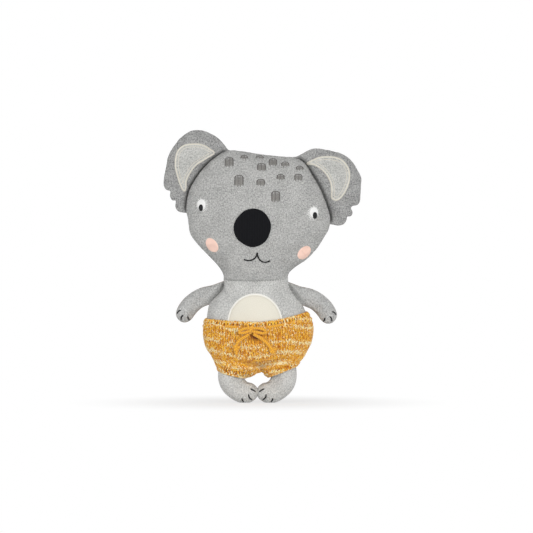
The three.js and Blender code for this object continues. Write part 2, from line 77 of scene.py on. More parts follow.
# Limbs
ARM_REACH = 56 * MM
ARM_DROP = 46 * MM
ARM_DEPTH = 10 * MM
SHOULDER_X = {"right": -41.5 * MM, "left": 35.5 * MM}
SHOULDER_Z = {"right": 141 * MM, "left": 139.5 * MM}
HIP_Z = 48.5 * MM
LEG_MID_X = -1.9 * MM
LEG_SPREAD = 28.3 * MM
LEG_HALF_WIDTH = 20 * MM
LEG_DEPTH = 14.5 * MM

# Ears
EAR_CHORD = 88.7 * MM
EAR_REACH = {"right": 59 * MM, "left": 52.3 * MM}
EAR_DEPTH = 6 * MM
EAR_LEAN = {"right": 35.3, "left": 28.3}
EAR_TOP = {"right": (-35.6 * MM, 297.7 * MM), "left": (42.1 * MM, 289.2 * MM)}

# How ears and arms are drawn back where they are sewn on
CREASE_DRAW = {"ear": 12 * MM, "arm": 5 * MM}
CREASE_WIDTH = 3.2 * MM
CREASE_PINCH = 0.85

# How the skins' cloth is let settle over the filling
FILLING_PRESSURE = 4
CLOTH_SLACK = 0.04
CLOTH_FRAMES = 20
MOST_CLOTH_MOVE = 2.5 * MM
STILL_SHARE = 0.15
INSET_SHARES = (0.15, 0.45, 0.9)

# The stuffing's dents: their size, their depth and a shift of their seed
DENTS = [(26 * MM, 0.9 * MM, 0), (9 * MM, 0.25 * MM, 5)]
DENT_FADE = 9 * MM
PUCKER_PITCH = 2.9 * MM
PUCKER_REACH = 4 * MM
PUCKER_DEPTH = 0.28 * MM

# Face
NOSE = (-7.5 * MM, 205.7 * MM)
NOSE_RADIUS = 22 * MM
NOSE_DOME = 0.8 * MM
NOSE_WAVES = [(2, 0.02, -0.9), (3, 0.014, -1.6), (4, 0.01, 0.9), (7, 0.006, 0.4)]
EYES = {"right": (-67.5 * MM, 233 * MM), "left": (64.5 * MM, 224 * MM)}
EYE_SIZE = (4.9 * MM, 6.2 * MM)
EYE_RAYS = 26
PUPIL_SIZE = (2.6 * MM, 4 * MM)
PUPIL_DROP = 3.6 * MM
PUPIL_SHIFT = {"right": -0.2 * MM, "left": 0.8 * MM}
CHEEKS = {"right": (-55 * MM, 185.6 * MM), "left": (53.1 * MM, 176.8 * MM)}
CHEEK_SIZE = (9.3 * MM, 6.1 * MM)
CHEEK_TILT = {"right": -52, "left": 44}
MOUTH = (-2 * MM, 176.8 * MM)
MOUTH_SIZE = (15.6 * MM, 10 * MM)
MOUTH_THREAD = 0.95 * MM
BELLY = (-4.7 * MM, 93.5 * MM)
BELLY_SIZE = (32 * MM, 35 * MM)

# Shorts
SHORTS_HALF_WIDTH = 65 * MM
LEAST_STITCH = 2.6 * MM
WAIST_GAP = 2.4 * MM
SNUG_LEVELS = (0.4, 0.06)
SNUG_FACING = (0.35, 0.75)
GROUND_GAPS = (0.9 * MM, 1.6 * MM)
BACK_RISE = 17 * MM
LEVELS = 80
TURNS = 96
COLUMNS = 26
ROWS = 22
# How far down the side seam the plain rows start and end
BAND_SHARE = 0.15
CUFF_SHARE = 0.88
OPEN_ROWS = 4
# How late a row climbs from the front seam to the side
ROW_CLIMB = 1.4

# Drawstring
CORD = 4 * MM
CORD_SWELL = 1.08
CORD_STRANDS = 3
CORD_TWIST = 9 * MM
END_KNOT = (3.3 * MM, 1.65 * MM)

# Studio: the world's light, the floor's size, between which distances from the toy it fades to the
# white background, how much of that white it has at the toy, and two soft lamps
SKY_STRENGTH = 0.52
FLOOR_HALF_SIZE = 3.0
FLOOR_FADE = (0.04, 0.24)
FLOOR_LEAST_WHITE = 0.6
LIT_POINT = (0, 0, 150 * MM)
LAMP_SIZE = 1.2
LAMPS = {"key": ((0.8, -1.85, 0.15), 26), "fill": ((-1.1, -1.5, 0.8), 9.5)}


# Numbers and lines
def array(points):
    return np.array(points, float)


def smoothstep(value, low, high):
    t = np.clip((value - low) / (high - low), 0, 1)
    return t * t * (3 - 2 * t)


def spline(points, count, closed=False):
    """count points at even steps along a smooth line through the given ones."""
    points = array(points)
    size = len(points)
    if closed:
        around = np.concatenate([points[-1:], points, points[:2]])
    else:
        around = np.concatenate([2 * points[:1] - points[1:2], points, 2 * points[-1:] - points[-2:-1]])
    fine = []
    for i in range(size if closed else size - 1):
        a, b, c, d = around[i:i + 4]
        gaps = [max(math.sqrt(np.linalg.norm(q - p)), 1e-6) for p, q in ((a, b), (b, c), (c, d))]
        start = ((b - a) / gaps[0] - (c - a) / (gaps[0] + gaps[1]) + (c - b) / gaps[1]) * gaps[1]
        end = ((c - b) / gaps[1] - (d - b) / (gaps[1] + gaps[2]) + (d - c) / gaps[2]) * gaps[1]
        t = np.linspace(0, 1, 24, endpoint=False)[:, None]
        fine.append(
            b * (2 * t**3 - 3 * t**2 + 1) + start * (t**3 - 2 * t**2 + t)
            + c * (3 * t**2 - 2 * t**3) + end * (t**3 - t**2)
        )
    fine.append(points[:1] if closed else points[-1:])
    return even(np.concatenate(fine), count, closed)


def along_line(line):
    """How far along it each point of a line lies."""
    return np.concatenate([[0], np.cumsum(np.linalg.norm(np.diff(line, axis=0), axis=1))])


def even(line, count, closed):
    """The same line in even steps. A closed line repeats its first point at its end."""
    run = along_line(line)
    steps = np.linspace(0, run[-1], count, endpoint=not closed)
    return np.stack([np.interp(steps, run, line[:, k]) for k in range(line.shape[1])], axis=1)


def loop_of(points, count):
    return spline(points, count, closed=True)


def oval(x, z, half_width, half_height, count, tilt=0.0):
    turn = math.radians(tilt)
    angle = np.linspace(0, 2 * math.pi, count, endpoint=False)
    a, b = half_width * np.cos(angle), half_height * np.sin(angle)
    return np.stack([
        x + a * math.cos(turn) - b * math.sin(turn), z + a * math.sin(turn) + b * math.cos(turn)
    ], axis=1)


def inside(points, outline):
    """Which of the flat points lie inside a closed flat line."""
    x, z = points[:, 0][:, None], points[:, 1][:, None]
    ax, az = outline[:, 0], outline[:, 1]
    bx, bz = np.roll(ax, -1), np.roll(az, -1)
    crosses = (az > z) != (bz > z)
    edge = ax + (z - az) * (bx - ax) / np.where(bz == az, 1e-12, bz - az)
    return (crosses & (x < edge)).sum(1) % 2 == 1


def edge_distance(points, outline):
    """How far each flat point lies from a closed line, and how far along that line."""
    a = outline
    b = np.roll(outline, -1, axis=0)
    length = np.linalg.norm(b - a, axis=1)
    start = np.concatenate([[0], np.cumsum(length)[:-1]])
    near = np.full(len(points), 1e9)
    along = np.zeros(len(points))
    for first, last, size, run in zip(a, b, length, start):
        step = last - first
        t = np.clip((points - first) @ step / max(size * size, 1e-16), 0, 1)
        gap = np.linalg.norm(points - first - t[:, None] * step, axis=1)
        closer = gap < near
        near[closer] = gap[closer]
        along[closer] = run + t[closer] * size
    return near, along


def signed_area(outline):
    x, z = outline.T
    return float(np.sum(x * np.roll(z, -1) - np.roll(x, -1) * z)) / 2


def inset(outline, gap, least_share=0.9):
    """A closed line moved inward, without the points that come nearer to it than that share of
    the gap."""
    along = np.roll(outline, -1, axis=0) - np.roll(outline, 1, axis=0)
    along /= np.linalg.norm(along, axis=1)[:, None]
    inward = np.stack([-along[:, 1], along[:, 0]], axis=1) * np.sign(signed_area(outline))
    line = outline + inward * gap
    near, _ = edge_distance(line, outline)
    return line[inside(line, outline) & (near > least_share * gap)]


# Flat cloth and stuffed forms
def clear_of(points, line, gap):
    """The flat points that lie further than gap from every point of a line."""
    return points[np.min(np.linalg.norm(points[:, None] - line[None], axis=2), axis=1) > gap]


def cut_cloth(outline, pitch, insets=(), line=None):
    """Triangles over a flat outline. The outline's points come first, then an optional inner
    line that the triangles keep to, then rings just inside the edge, then an even fill."""
    outline = array(outline)
    rings = [inset(outline, gap) for gap in insets]
    low, high = outline.min(0), outline.max(0)
    rows = np.arange(low[1], high[1], pitch * math.sqrt(0.75))
    fill = np.array([
        (x, z) for i, z in enumerate(rows)
        for x in np.arange(low[0] + (i % 2) * pitch / 2, high[0], pitch)
    ])
    fill = fill[inside(fill, outline)]
    near, _ = edge_distance(fill, outline)
    fill = fill[near > max([*insets, 0]) + 0.6 * pitch]
    count = len(outline)
    edges = [(i, (i + 1) % count) for i in range(count)]
    kept = []
    if line is not None:
        kept = [array(line)]
        fill = clear_of(fill, kept[0], 0.6 * pitch)
        rings = [clear_of(ring, kept[0], 0.3 * pitch) for ring in rings]
        edges += [(count + i, count + i + 1) for i in range(len(line) - 1)]
    points = np.concatenate([outline, *kept, *rings, fill])
    made = delaunay_2d_cdt([Vector(p) for p in points], edges, [], 1, 1e-9)
    return array([tuple(v) for v in made[0]]), np.array(made[2])


def puff(flat, faces, outline, pinch):
    """How high a skin sewn down at the outline stands when it is stuffed, from 0 to 1. Its height
    solves the equation of a membrane under even pressure, by conjugate gradients."""
    near, _ = edge_distance(flat, outline)
    free = near > 1e-6
    size = len(flat)
    rows, columns, weights = [], [], []
    for k in range(3):
        i, j, o = (faces[:, (k + step) % 3] for step in range(3))
        p, q = flat[i] - flat[o], flat[j] - flat[o]
        cross = np.abs(p[:, 0] * q[:, 1] - p[:, 1] * q[:, 0])
        rows.append(i)
        columns.append(j)
        weights.append(np.sum(p * q, axis=1) / np.maximum(cross, 1e-14) / 2)
        if k == 0:
            share = np.bincount(faces.ravel(), np.repeat(cross / 6, 3), size)
    rows, columns, weights = (np.concatenate(x) for x in (rows, columns, weights))
    diagonal = np.bincount(rows, weights, size) + np.bincount(columns, weights, size)

    def pull(u):
        step = weights * (u[rows] - u[columns])
        return (np.bincount(rows, step, size) - np.bincount(columns, step, size)) * free

    u = np.zeros(size)
    rest = share * free
    scale = np.where(diagonal > 0, diagonal, 1)
    step = rest / scale
    power = rest @ step
    for _ in range(900):
        pulled = pull(step)
        move = power / (step @ pulled)
        u += move * step
        rest = rest - move * pulled
        fresh = rest / scale
        new_power = rest @ fresh
        if new_power < 1e-22:
            break
        step = fresh + new_power / power * step
        power = new_power
    return (np.clip(u, 0, None) / u.max()) ** pinch


# Objects and meshes
def new_object(name, data):
    made = bpy.data.objects.new(name, data)
    bpy.context.scene.collection.objects.link(made)
    return made


def mesh_object(name, points, faces, uv=None):
    mesh = bpy.data.meshes.new(name)
    mesh.from_pydata([tuple(p) for p in points], [], [tuple(int(i) for i in f) for f in faces])
    if uv is not None:
        layer = mesh.uv_layers.new(name="cloth")
        corner = np.zeros(len(mesh.loops), np.int32)
        mesh.loops.foreach_get("vertex_index", corner)
        layer.data.foreach_set("uv", array(uv)[corner].astype(np.float32).ravel())
    mesh.polygons.foreach_set("use_smooth", [True] * len(mesh.polygons))
    mesh.update()
    return new_object(name, mesh)


def add_piece(name, parts, material, rides, *nodes):
    """A piece joined from parts, each with points, faces and cloth coordinates. It moves with one body;
    given a blend of two, it stays where it is. It stands for the CAD nodes named, which are hidden."""
    points, faces, uv, base = [], [], [], 0
    for p, f, t in parts:
        points.append(array(p))
        uv.append(array(t))
        faces += [tuple(int(i) + base for i in face) for face in f]
        base += len(p)
    piece = mesh_object(name, np.concatenate(points), faces, np.concatenate(uv))
    piece.data.materials.append(material)
    if isinstance(rides, str):
        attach(piece, rides)
    else:
        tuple(rides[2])
        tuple(rides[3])
        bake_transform(piece)
    if nodes:
        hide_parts(*nodes)
    return piece


def tube(path, radius, sides=10, flatten=1.0, up=(0, -1, 0), closed=False):
    """A thread or cord along a path of points. radius is one number or one for each point. up is
    the way that its flat side faces, or one way for each point."""
    path = array(path)
    count = len(path)
    radius = np.broadcast_to(array(radius), (count,))
    up = np.broadcast_to(array(up), (count, 3))
    if closed:
        along = np.roll(path, -1, axis=0) - np.roll(path, 1, axis=0)
    else:
        along = np.gradient(path, axis=0)
    along /= np.maximum(np.linalg.norm(along, axis=1), 1e-12)[:, None]
    across = np.cross(along, up)
    across /= np.maximum(np.linalg.norm(across, axis=1), 1e-9)[:, None]
    rise = np.cross(across, along)
    angle = np.linspace(0, 2 * math.pi, sides, endpoint=False)
    points, uv = [], []
    for i, run in enumerate(along_line(path)):
        wide = across[i] * radius[i]
        high = rise[i] * radius[i] * flatten
        points.append(path[i] + np.cos(angle)[:, None] * wide + np.sin(angle)[:, None] * high)
        uv.append(np.stack([np.full(sides, run), angle / (2 * math.pi)], axis=1))
    faces = []
    for i in range(count if closed else count - 1):
        here, there = i * sides, ((i + 1) % count) * sides
        faces += [
            (here + k, here + (k + 1) % sides, there + (k + 1) % sides, there + k)
            for k in range(sides)
        ]
    if not closed:
        faces += [tuple(range(sides))[::-1], tuple((count - 1) * sides + k for k in range(sides))]
    return np.concatenate(points), faces, np.concatenate(uv)


def rounded_ends(count, radius, share=0.5, ends=2):
    """Radii along a thread that close it to a round tip at each end."""
    radii = np.full(count, float(radius))
    for k in range(ends):
        size = radius * (share + (1 - share) * math.sin(math.pi / 2 * k / ends))
        radii[k] = radii[-1 - k] = size
    return radii


def twisted_cord(points, count, radius, sides=16, closed=False):
    """A cord of a few strands twisted together, along points."""
    line = spline(points, count, closed)
    radii = radius if closed else rounded_ends(count, radius, 0.4, 3)
    made, faces, uv = tube(line, radii, sides, closed=closed)
    angle = uv[:, 1] * 2 * math.pi
    turn = CORD_STRANDS / 2 * angle - math.pi * uv[:, 0] / CORD_TWIST * CORD_STRANDS
    lobes = 0.92 + 0.08 * np.abs(np.cos(turn))
    centre = np.repeat(line, sides, axis=0)
    return centre + (made - centre) * lobes[:, None], faces, uv


# Camera: square on to the toy, from so far that it sees nearly no perspective
optics = bpy.data.cameras.new("camera")
optics.lens = LENS_MM
optics.sensor_width = SENSOR_MM
optics.clip_end = 20
camera = new_object("camera", optics)
camera.location = (VIEW_X, -VIEW_SPAN * LENS_MM / SENSOR_MM, VIEW_Z)
camera.rotation_euler = (math.pi / 2, 0, 0)
bpy.context.scene.camera = camera


# Materials
def linear(colour):
    """A screen colour from 0 to 255 as Blender's own numbers."""
    shares = [value / 255 for value in colour]
    return (*(s / 12.92 if s <= 0.04045 else ((s + 0.055) / 1.055) ** 2.4 for s in shares), 1)


def grey(share):
    return (share, share, share, 1)


def add_node(tree, kind, inputs=None, **settings):
    """A node in a tree, with its settings and what its inputs take: a value or an output."""
    made = tree.nodes.new(kind)
    for key, value in settings.items():
        setattr(made, key, value)
    for key, value in (inputs or {}).items():
        if isinstance(value, Number):
            value = value.socket
        if isinstance(value, bpy.types.NodeSocket):
            tree.links.new(value, made.inputs[key])
        else:
            made.inputs[key].default_value = value
    return made


class Number:
    """A number that varies over a surface. Arithmetic on it adds nodes to its tree."""

    def __init__(self, socket):
        self.socket = socket

    def math(self, operation, *others):
        inputs = dict(enumerate((self, *others)))
        made = add_node(self.socket.id_data, "ShaderNodeMath", inputs, operation=operation)
        return Number(made.outputs[0])

    def __add__(self, other):
        return self.math("ADD", other)

    def __sub__(self, other):
        return self.math("SUBTRACT", other)

    def __mul__(self, other):
        return self.math("MULTIPLY", other)

    def __truediv__(self, other):
        return self.math("DIVIDE", other)

    def bump(self):
        """1 - (2n - 1) squared: 0 where the number is 0 or 1, and 1 halfway."""
        centred = self * 2 - 1
        return (centred * centred).math("MULTIPLY_ADD", -1, 1)


class Cloth:
    """A material being built. x and y are its cloth coordinates, in metres or in turns."""

    def __init__(self, name, slot, roughness=0.95, sheen=0.25):
        self.material = bpy.data.materials.new(name)
        self.material.use_nodes = True
        self.tree = self.material.node_tree
        self.shader = self.tree.nodes["Principled BSDF"]
        looks = {"Roughness": roughness, "Sheen Weight": sheen, "Sheen Roughness": 0.6}
        looks["Specular IOR Level"] = 0.15
        for key, value in looks.items():
            self.shader.inputs[key].default_value = value
        place = self.node("ShaderNodeUVMap", uv_map="cloth").outputs[0]
        split = self.node("ShaderNodeSeparateXYZ", {0: place})
        self.x, self.y = (Number(split.outputs[k]) for k in range(2))

    def node(self, kind, inputs=None, **settings):
        return add_node(self.tree, kind, inputs, **settings)

    def mix(self, share, a, b, **settings):
        inputs = {"Factor": share, 6: a, 7: b}
        return self.node("ShaderNodeMix", inputs, data_type="RGBA", **settings).outputs[2]

    def darkened(self, colour, shade):
        return self.mix(1.0, colour, shade, blend_type="MULTIPLY")

    def grain(self, x, y, size=1.0, detail=3.0, rough=0.5):
        place = self.node("ShaderNodeCombineXYZ", {0: x, 1: y}).outputs[0]
        inputs = {"Vector": place, "Scale": 1 / size, "Detail": detail, "Roughness": rough}
        return Number(self.node("ShaderNodeTexNoise", inputs).outputs[0])

    def span(self, value, low, high):
        """From 0 to 1 as the value goes from low to high."""
        return self.node("ShaderNodeMapRange", {0: value, 1: low, 2: high}).outputs[0]

    def ramp(self, value, stops):
        made = self.node("ShaderNodeValToRGB", {0: value})
        elements = made.color_ramp.elements
        while len(elements) < len(stops):
            elements.new(0.5)
        for element, (position, colour) in zip(elements, stops):
            element.position = position
            element.color = colour
        return made.outputs[0]

    def finish(self, colour, height, distance, strength):
        self.tree.links.new(colour, self.shader.inputs["Base Color"])
        inputs = {"Height": height, "Distance": distance, "Strength": strength}
        self.tree.links.new(self.node("ShaderNodeBump", inputs).outputs[0], self.shader.inputs["Normal"])
        return self.material


def marl_knit(name, middle, dark, light, slot="grey_knit", contrast=1.25):
    """Fine machine knit in V stitches, of a yarn of light and dark fibres spun together."""
    cloth = Cloth(name, slot)
    x, y = cloth.x, cloth.y
    gauge = 1.6 * MM
    half = ((x / gauge).math("FRACT") - 0.5).math("ABSOLUTE") * 2
    phase = (y / (gauge * 0.8) - half * 0.75).math("FRACT")
    relief = (half.bump() * phase.bump()).math("SQRT")
    marl = cloth.grain(x, y, 0.8 * MM, 4, 0.7) * 0.65 + cloth.grain(x, y * 0.8, 1.6 * MM, 3, 0.75) * 0.7
    marl += cloth.grain(x, y, 17 * MM, 3, 0.6) * 0.15
    places = (0.75 - 0.15 / contrast, 0.75, 0.75 + 0.15 / contrast)
    colour = cloth.ramp(marl, list(zip(places, map(linear, (dark, middle, light)))))
    # Painted shade: the knit is darkened in the gaps between its stitches, and lightened a little on their
    # tops as a painted highlight.
    gaps = cloth.ramp(relief, [(0.0, grey(0.78)), (0.6, grey(1.04))])
    fuzz = cloth.grain(x, y, 0.5 * MM, 2)
    return cloth.finish(cloth.darkened(colour, gaps), relief + fuzz * 0.7, 0.4 * MM, 0.9)


def felt(name, slot, middle, dark, rib=0.0, strength=0.6, sheen=0.25):
    """Pressed wool, with fine ribs across it where rib is their spacing. The ribs are raised, and also
    painted lighter and darker in turn as a painted highlight.
    """
    cloth = Cloth(name, slot, sheen=sheen)
    height = cloth.grain(cloth.x, cloth.y, 0.8 * MM, 5, 0.7)
    colour = cloth.ramp(height, [(0.3, linear(dark)), (0.65, linear(middle))])
    if rib:
        wave = (cloth.x * (2 * math.pi / rib)).math("SINE")
        height += wave * 0.35
        # Painted highlight: the ribs are coloured lighter and darker in turn.
        colour = cloth.mix(wave.math("MULTIPLY_ADD", 0.5, 0.5) * 0.7, colour, linear(dark))
    return cloth.finish(colour, height, 0.4 * MM, strength)


def satin(name, slot, middle, dark, pitch, rough=0.55):
    """Embroidery thread: many shiny strands side by side, across the line that they follow."""
    cloth = Cloth(name, slot, roughness=rough, sheen=0.1)
    wave = ((cloth.x + cloth.y * (pitch * 0.8)) * (2 * math.pi / pitch)).math("SINE")
    share = wave.math("MULTIPLY_ADD", 0.25, cloth.grain(cloth.x, cloth.y, 0.6 * MM))
    colour = cloth.ramp(share, [(0.2, linear(dark)), (0.6, linear(middle))])
    return cloth.finish(colour, share, 0.25 * MM, 0.7)


def marl_yarn(name, slot):
    """Thick mustard yarn, plied with cream. A point's attribute says how much cream shows, and below 0 how
    dark the painted shade makes the yarn.
    """
    cloth = Cloth(name, slot, roughness=0.85, sheen=0.2)
    x, y = cloth.x, cloth.y
    ply = ((x / (2.6 * MM) + y).math("FRACT") * 2 - 1).math("ABSOLUTE")
    slow = cloth.grain(x / (6 * MM), y * 0.6)
    mustard = cloth.ramp(slow, [
        (0.36, linear((178, 96, 14))), (0.46, linear((222, 146, 32))),
        (0.56, linear((246, 188, 54))), (0.66, linear((255, 216, 92))),
    ])
    cream_and_shade = Number(cloth.node("ShaderNodeAttribute", attribute_name="cream_and_shade").outputs["Fac"])
    fleck = cloth.grain(x / (5.2 * MM), y * 0.5, detail=2)
    share = cloth.span(ply * 0.15 + (fleck + cream_and_shade), 0.87, 0.95)
    colour = cloth.mix(share, mustard, linear((252, 240, 192)))
    # Painted shade: where the attribute is below 0, under the bow, the yarn is painted dark brown.
    colour = cloth.mix(cloth.span(cream_and_shade, -0.8, 0.0), linear((132, 66, 8)), colour)
    fibres = cloth.grain(x / (0.7 * MM), y * 6)
    dull = cloth.ramp(fibres, [(0.3, (0.8, 0.78, 0.74, 1)), (0.6, grey(1.04))])
    return cloth.finish(cloth.darkened(colour, dull), fibres * 0.6 + ply, 0.3 * MM, 0.8)


def plied_cord(name, slot, middle, dark):
    """A knitted cord: slanting strands that wind round it."""
    cloth = Cloth(name, slot, roughness=0.85)
    x, y = cloth.x, cloth.y
    wave = ((x / (2.2 * MM) + y * 2) * (2 * math.pi)).math("SINE")
    share = wave.math("MULTIPLY_ADD", 0.28, cloth.grain(x / (0.7 * MM), y * 9))
    colour = cloth.ramp(share, [(0.25, linear(dark)), (0.65, linear(middle))])
    return cloth.finish(colour, share, 0.6 * MM, 0.8)


GREY = marl_knit("grey_knit", (181, 181, 179), (134, 134, 133), (212, 212, 209))
# Lighter copies of the grey knit for the arms and legs: painted light, making up for the shade by the body's
# creases and near the floor.
ARM_GREY_PAINTED_LIGHT = marl_knit("arm_knit_painted_light", (190, 190, 188), (144, 144, 143), (219, 219, 216))
LEG_GREY_PAINTED_LIGHT = marl_knit("leg_knit_painted_light", (211, 211, 208), (170, 170, 168), (235, 235, 232))
TORSO_GREY = marl_knit("torso_knit", (205, 205, 202), (162, 162, 160), (231, 231, 228))
EAR_GREY = marl_knit("ear_knit", (160, 160, 159), (104, 104, 105), (196, 196, 194), "dark_knit")
LINING_GREY = marl_knit("lining_knit", (196, 196, 192), (146, 146, 144), (222, 222, 218), "pale_knit", 1.1)
CREAM = felt("cream_felt", "cream_felt", (229, 225, 212), (213, 208, 193))
BLACK = felt("black_felt", "black_felt", (25, 26, 30), (6, 6, 9), 1.9 * MM, 1.0, 0.03)
# The dark brown shell behind the shorts' loops: painted shade in the holes between them.
GROUND_PAINTED_SHADE = felt("mustard_ground_painted_shade", "mustard_knit", (128, 64, 10), (78, 34, 4))
BLACK_THREAD = satin("black_thread", "black_thread", (27, 27, 29), (10, 10, 11), 0.45 * MM)
WHITE_THREAD = satin("white_thread", "white_thread", (247, 247, 246), (226, 226, 224), 0.45 * MM)
CREAM_THREAD = satin("cream_thread", "cream_thread", (226, 222, 212), (192, 187, 174), 0.9 * MM)
EDGE_THREAD = satin("edge_thread", "white_thread", (248, 247, 243), (226, 222, 212), 0.8 * MM)
SEAM_THREAD = satin("seam_thread", "grey_knit", (142, 142, 140), (110, 110, 108), 1.2 * MM)
FLECK_THREAD = satin("fleck_thread", "dark_knit", (138, 135, 131), (104, 102, 99), 0.8 * MM, 0.8)
FLECK_EDGE = satin("fleck_edge_thread", "dark_knit", (108, 105, 102), (82, 80, 78), 0.8 * MM, 0.8)
# Brownish thread on the arms' and legs' seams: real piping, whose brown also serves as a painted reflection
# on the arms' undersides.
PIPING_AND_REFLECTION = satin("piping_and_reflection_thread", "grey_knit", (166, 155, 144), (120, 108, 98), 1.1 * MM, 0.8)
PINK_THREAD = satin("pink_thread", "pink_thread", (254, 220, 205), (246, 203, 186), 0.8 * MM)
YARN = marl_yarn("mustard_yarn", "mustard_knit")
CORD_YARN = plied_cord("mustard_cord", "mustard_cord", (242, 182, 58), (212, 142, 34))

# The two free ends of the drawstring, which hang from its bow and end in knots
TAIL_ROUTES_MM = {
    "right": [
        (-11.6, -37.9, 82), (-12.8, -37.9, 80.9), (-14.2, -37.8, 79.8), (-15.8, -37.7, 78.8),
        (-17.5, -37.6, 77.8), (-19.3, -37.4, 76.8), (-21, -37.2, 75.6), (-22.6, -37, 74.3),
        (-24, -36.8, 72.8), (-25.1, -36.7, 71.1), (-25.9, -36.5, 69.2), (-26.4, -36.3, 67.1),
        (-26.6, -36.1, 65), (-26.6, -35.9, 62.8), (-26.4, -35.6, 60.6), (-26, -35.1, 57),
    ],
    "left": [
        (-7, -37.9, 82.2), (-5.5, -37.9, 81.4), (-4, -37.9, 80.6), (-2.3, -37.9, 79.7),
        (-0.6, -37.9, 78.7), (1.4, -37.9, 77.5), (3.4, -37.8, 76.1), (5.3, -37.7, 74.7),
        (7, -37.7, 73.2), (8.7, -37.6, 71.6), (10.2, -37.5, 69.9), (11.7, -37.4, 68.2),
        (13, -37.2, 66.4), (14.4, -37, 64.6), (15.8, -36.8, 62.8), (18.4, -36.2, 59.2),
    ],
}
# Which point of its route each knot is tied round
KNOT_POINT = {"right": 12, "left": 14}


def end_knot(place):
    """An overhand knot of thinner cord, drawn tight."""
    t = np.linspace(0, 2 * math.pi, 90, endpoint=False)
    shape = np.stack([
        np.sin(t) + 2 * np.sin(2 * t), -0.9 * np.sin(3 * t), np.cos(t) - 2 * np.cos(2 * t)
    ], axis=1) / 3
    return tube(place + shape * END_KNOT[0], END_KNOT[1], closed=True, up=(0.1, -1, 0.2))


for side, route in TAIL_ROUTES_MM.items():
    route = array(route) * MM
    cord = twisted_cord(route, 70, CORD_SWELL * CORD / 2)
    tail = add_piece(f"tail_{side}", [cord], CORD_YARN, "torso", f"drawstring_tail_{side}")
    knot = add_piece(f"tail_knot_{side}", [end_knot(route[KNOT_POINT[side]])], CORD_YARN, "torso")
    tuple(route[0])
    float(along_line(spline(route, 200))[-1])
    [tuple(p) for p in route]

# Outlines, as shares of the named sizes
HEAD_OUTLINE_SHARES = [
    (0.395, 0), (0.405, 0.05), (0.48, 0.095), (0.645, 0.16), (0.81, 0.255), (0.9, 0.34),
    (0.965, 0.41), (0.97, 0.49), (0.915, 0.6), (0.835, 0.71), (0.73, 0.81), (0.63, 0.895), (0.5, 0.942),
    (0.29, 0.957), (0.04, 0.972), (-0.2, 0.992), (-0.42, 0.997), (-0.56, 0.96), (-0.71, 0.89),
    (-0.82, 0.82), (-0.935, 0.715), (-0.98, 0.63), (-0.995, 0.53), (-0.975, 0.46), (-0.95, 0.37),
    (-0.86, 0.29), (-0.71, 0.2), (-0.56, 0.11), (-0.49, 0.045), (-0.485, 0),
]
TORSO_OUTLINE_SHARES = [
    (-0.69, 0.905), (-0.775, 0.833), (-0.87, 0.766), (-0.95, 0.7),
    (-0.985, 0.6), (-1, 0.5), (-1, 0.38), (-0.96, 0.24), (-0.87, 0.1), (-0.7, 0.01), (-0.3, 0),
    (0.25, 0), (0.63, 0.01), (0.82, 0.1), (0.93, 0.22), (0.975, 0.36), (0.96, 0.48), (0.915, 0.57),
    (0.87, 0.64), (0.81, 0.7), (0.68, 0.815), (0.61, 0.88),
]
ARM_OUTLINE_SHARES = [
    (-0.1, 0.05), (0.26, -0.07), (0.5, -0.14), (0.71, -0.28), (0.87, -0.46), (0.97, -0.65),
    (1, -0.8), (0.965, -0.91), (0.89, -0.985), (0.81, -1), (0.74, -0.97), (0.68, -0.91),
    (0.62, -0.81), (0.55, -0.71), (0.46, -0.62), (0.36, -0.565), (0.18, -0.47),
]
ARM_CLAW_SHARES = [
    [(0.9, -0.7), (0.945, -0.72), (0.985, -0.785)],
    [(0.85, -0.82), (0.885, -0.86), (0.9, -0.95)],
    [(0.755, -0.85), (0.75, -0.9), (0.72, -0.955)],
]
LEG_OUTLINE_SHARES = [
    (0.6, 0.3), (0.74, 0.06), (0.86, -0.2), (0.875, -0.375), (0.81, -0.52), (0.67, -0.65),
    (0.44, -0.775), (0.14, -0.875), (-0.2, -0.955), (-0.54, -1), (-0.84, -1), (-1.13, -0.955),
    (-1.35, -0.87), (-1.45, -0.75), (-1.37, -0.645), (-1.22, -0.575), (-1.05, -0.535),
    (-0.84, -0.515), (-0.69, -0.462), (-0.6, -0.4), (-0.58, -0.2), (-0.62, 0.06), (-0.6, 0.3),
]
LEG_CLAW_SHARES = [
    [(-1, -0.66), (-1.15, -0.69), (-1.31, -0.735)],
    [(-0.89, -0.79), (-0.94, -0.87), (-1.1, -0.93)],
    [(-0.51, -0.885), (-0.53, -0.93), (-0.62, -0.975)],
]
# Where each limb and ear starts to move, and where all of it moves
ARM_HINGE_SHARES = [(0.14, -0.18), (0.42, -0.42)]
LEG_HINGE_MM = [(4, 39), (15, 19)]
EAR_HINGE_SHARES = [(0.5, 0.14), (0.5, 0.36)]
EAR_OUTLINE_SHARES = {
    "right": [
        (0, -0.05), (0.005, 0.02), (-0.02, 0.145), (-0.043, 0.318), (-0.034, 0.495),
        (-0.004, 0.652), (0.066, 0.801), (0.143, 0.871), (0.253, 0.922), (0.384, 0.933),
        (0.532, 0.905), (0.666, 0.819), (0.78, 0.743), (0.875, 0.653), (0.903, 0.57),
        (0.889, 0.48), (0.945, 0.423), (0.972, 0.347), (0.95, 0.285), (1.02, 0.212),
        (1.045, 0.135), (1.03, 0.051), (0.97, -0.07), (0.82, -0.03), (0.6, 0.05), (0.4, 0.05),
        (0.18, -0.03),
    ],
    "left": [
        (-0.01, -0.05), (0.005, 0.03), (0.01, 0.18), (0.008, 0.326), (0.014, 0.429), (0.034, 0.518),
        (0.12, 0.711), (0.202, 0.869), (0.296, 0.999), (0.393, 1.07), (0.498, 1.1),
        (0.593, 1.1), (0.67, 1.08), (0.752, 1), (0.848, 0.9), (0.925, 0.811), (0.945, 0.732),
        (0.928, 0.63), (0.943, 0.569), (1.01, 0.55), (1.035, 0.487), (1.02, 0.41), (1.06, 0.345),
        (1.083, 0.261), (1.07, 0.149), (1.03, 0.06), (0.95, -0.08), (0.8, -0.04), (0.6, 0),
        (0.4, 0), (0.18, -0.04),
    ],
}
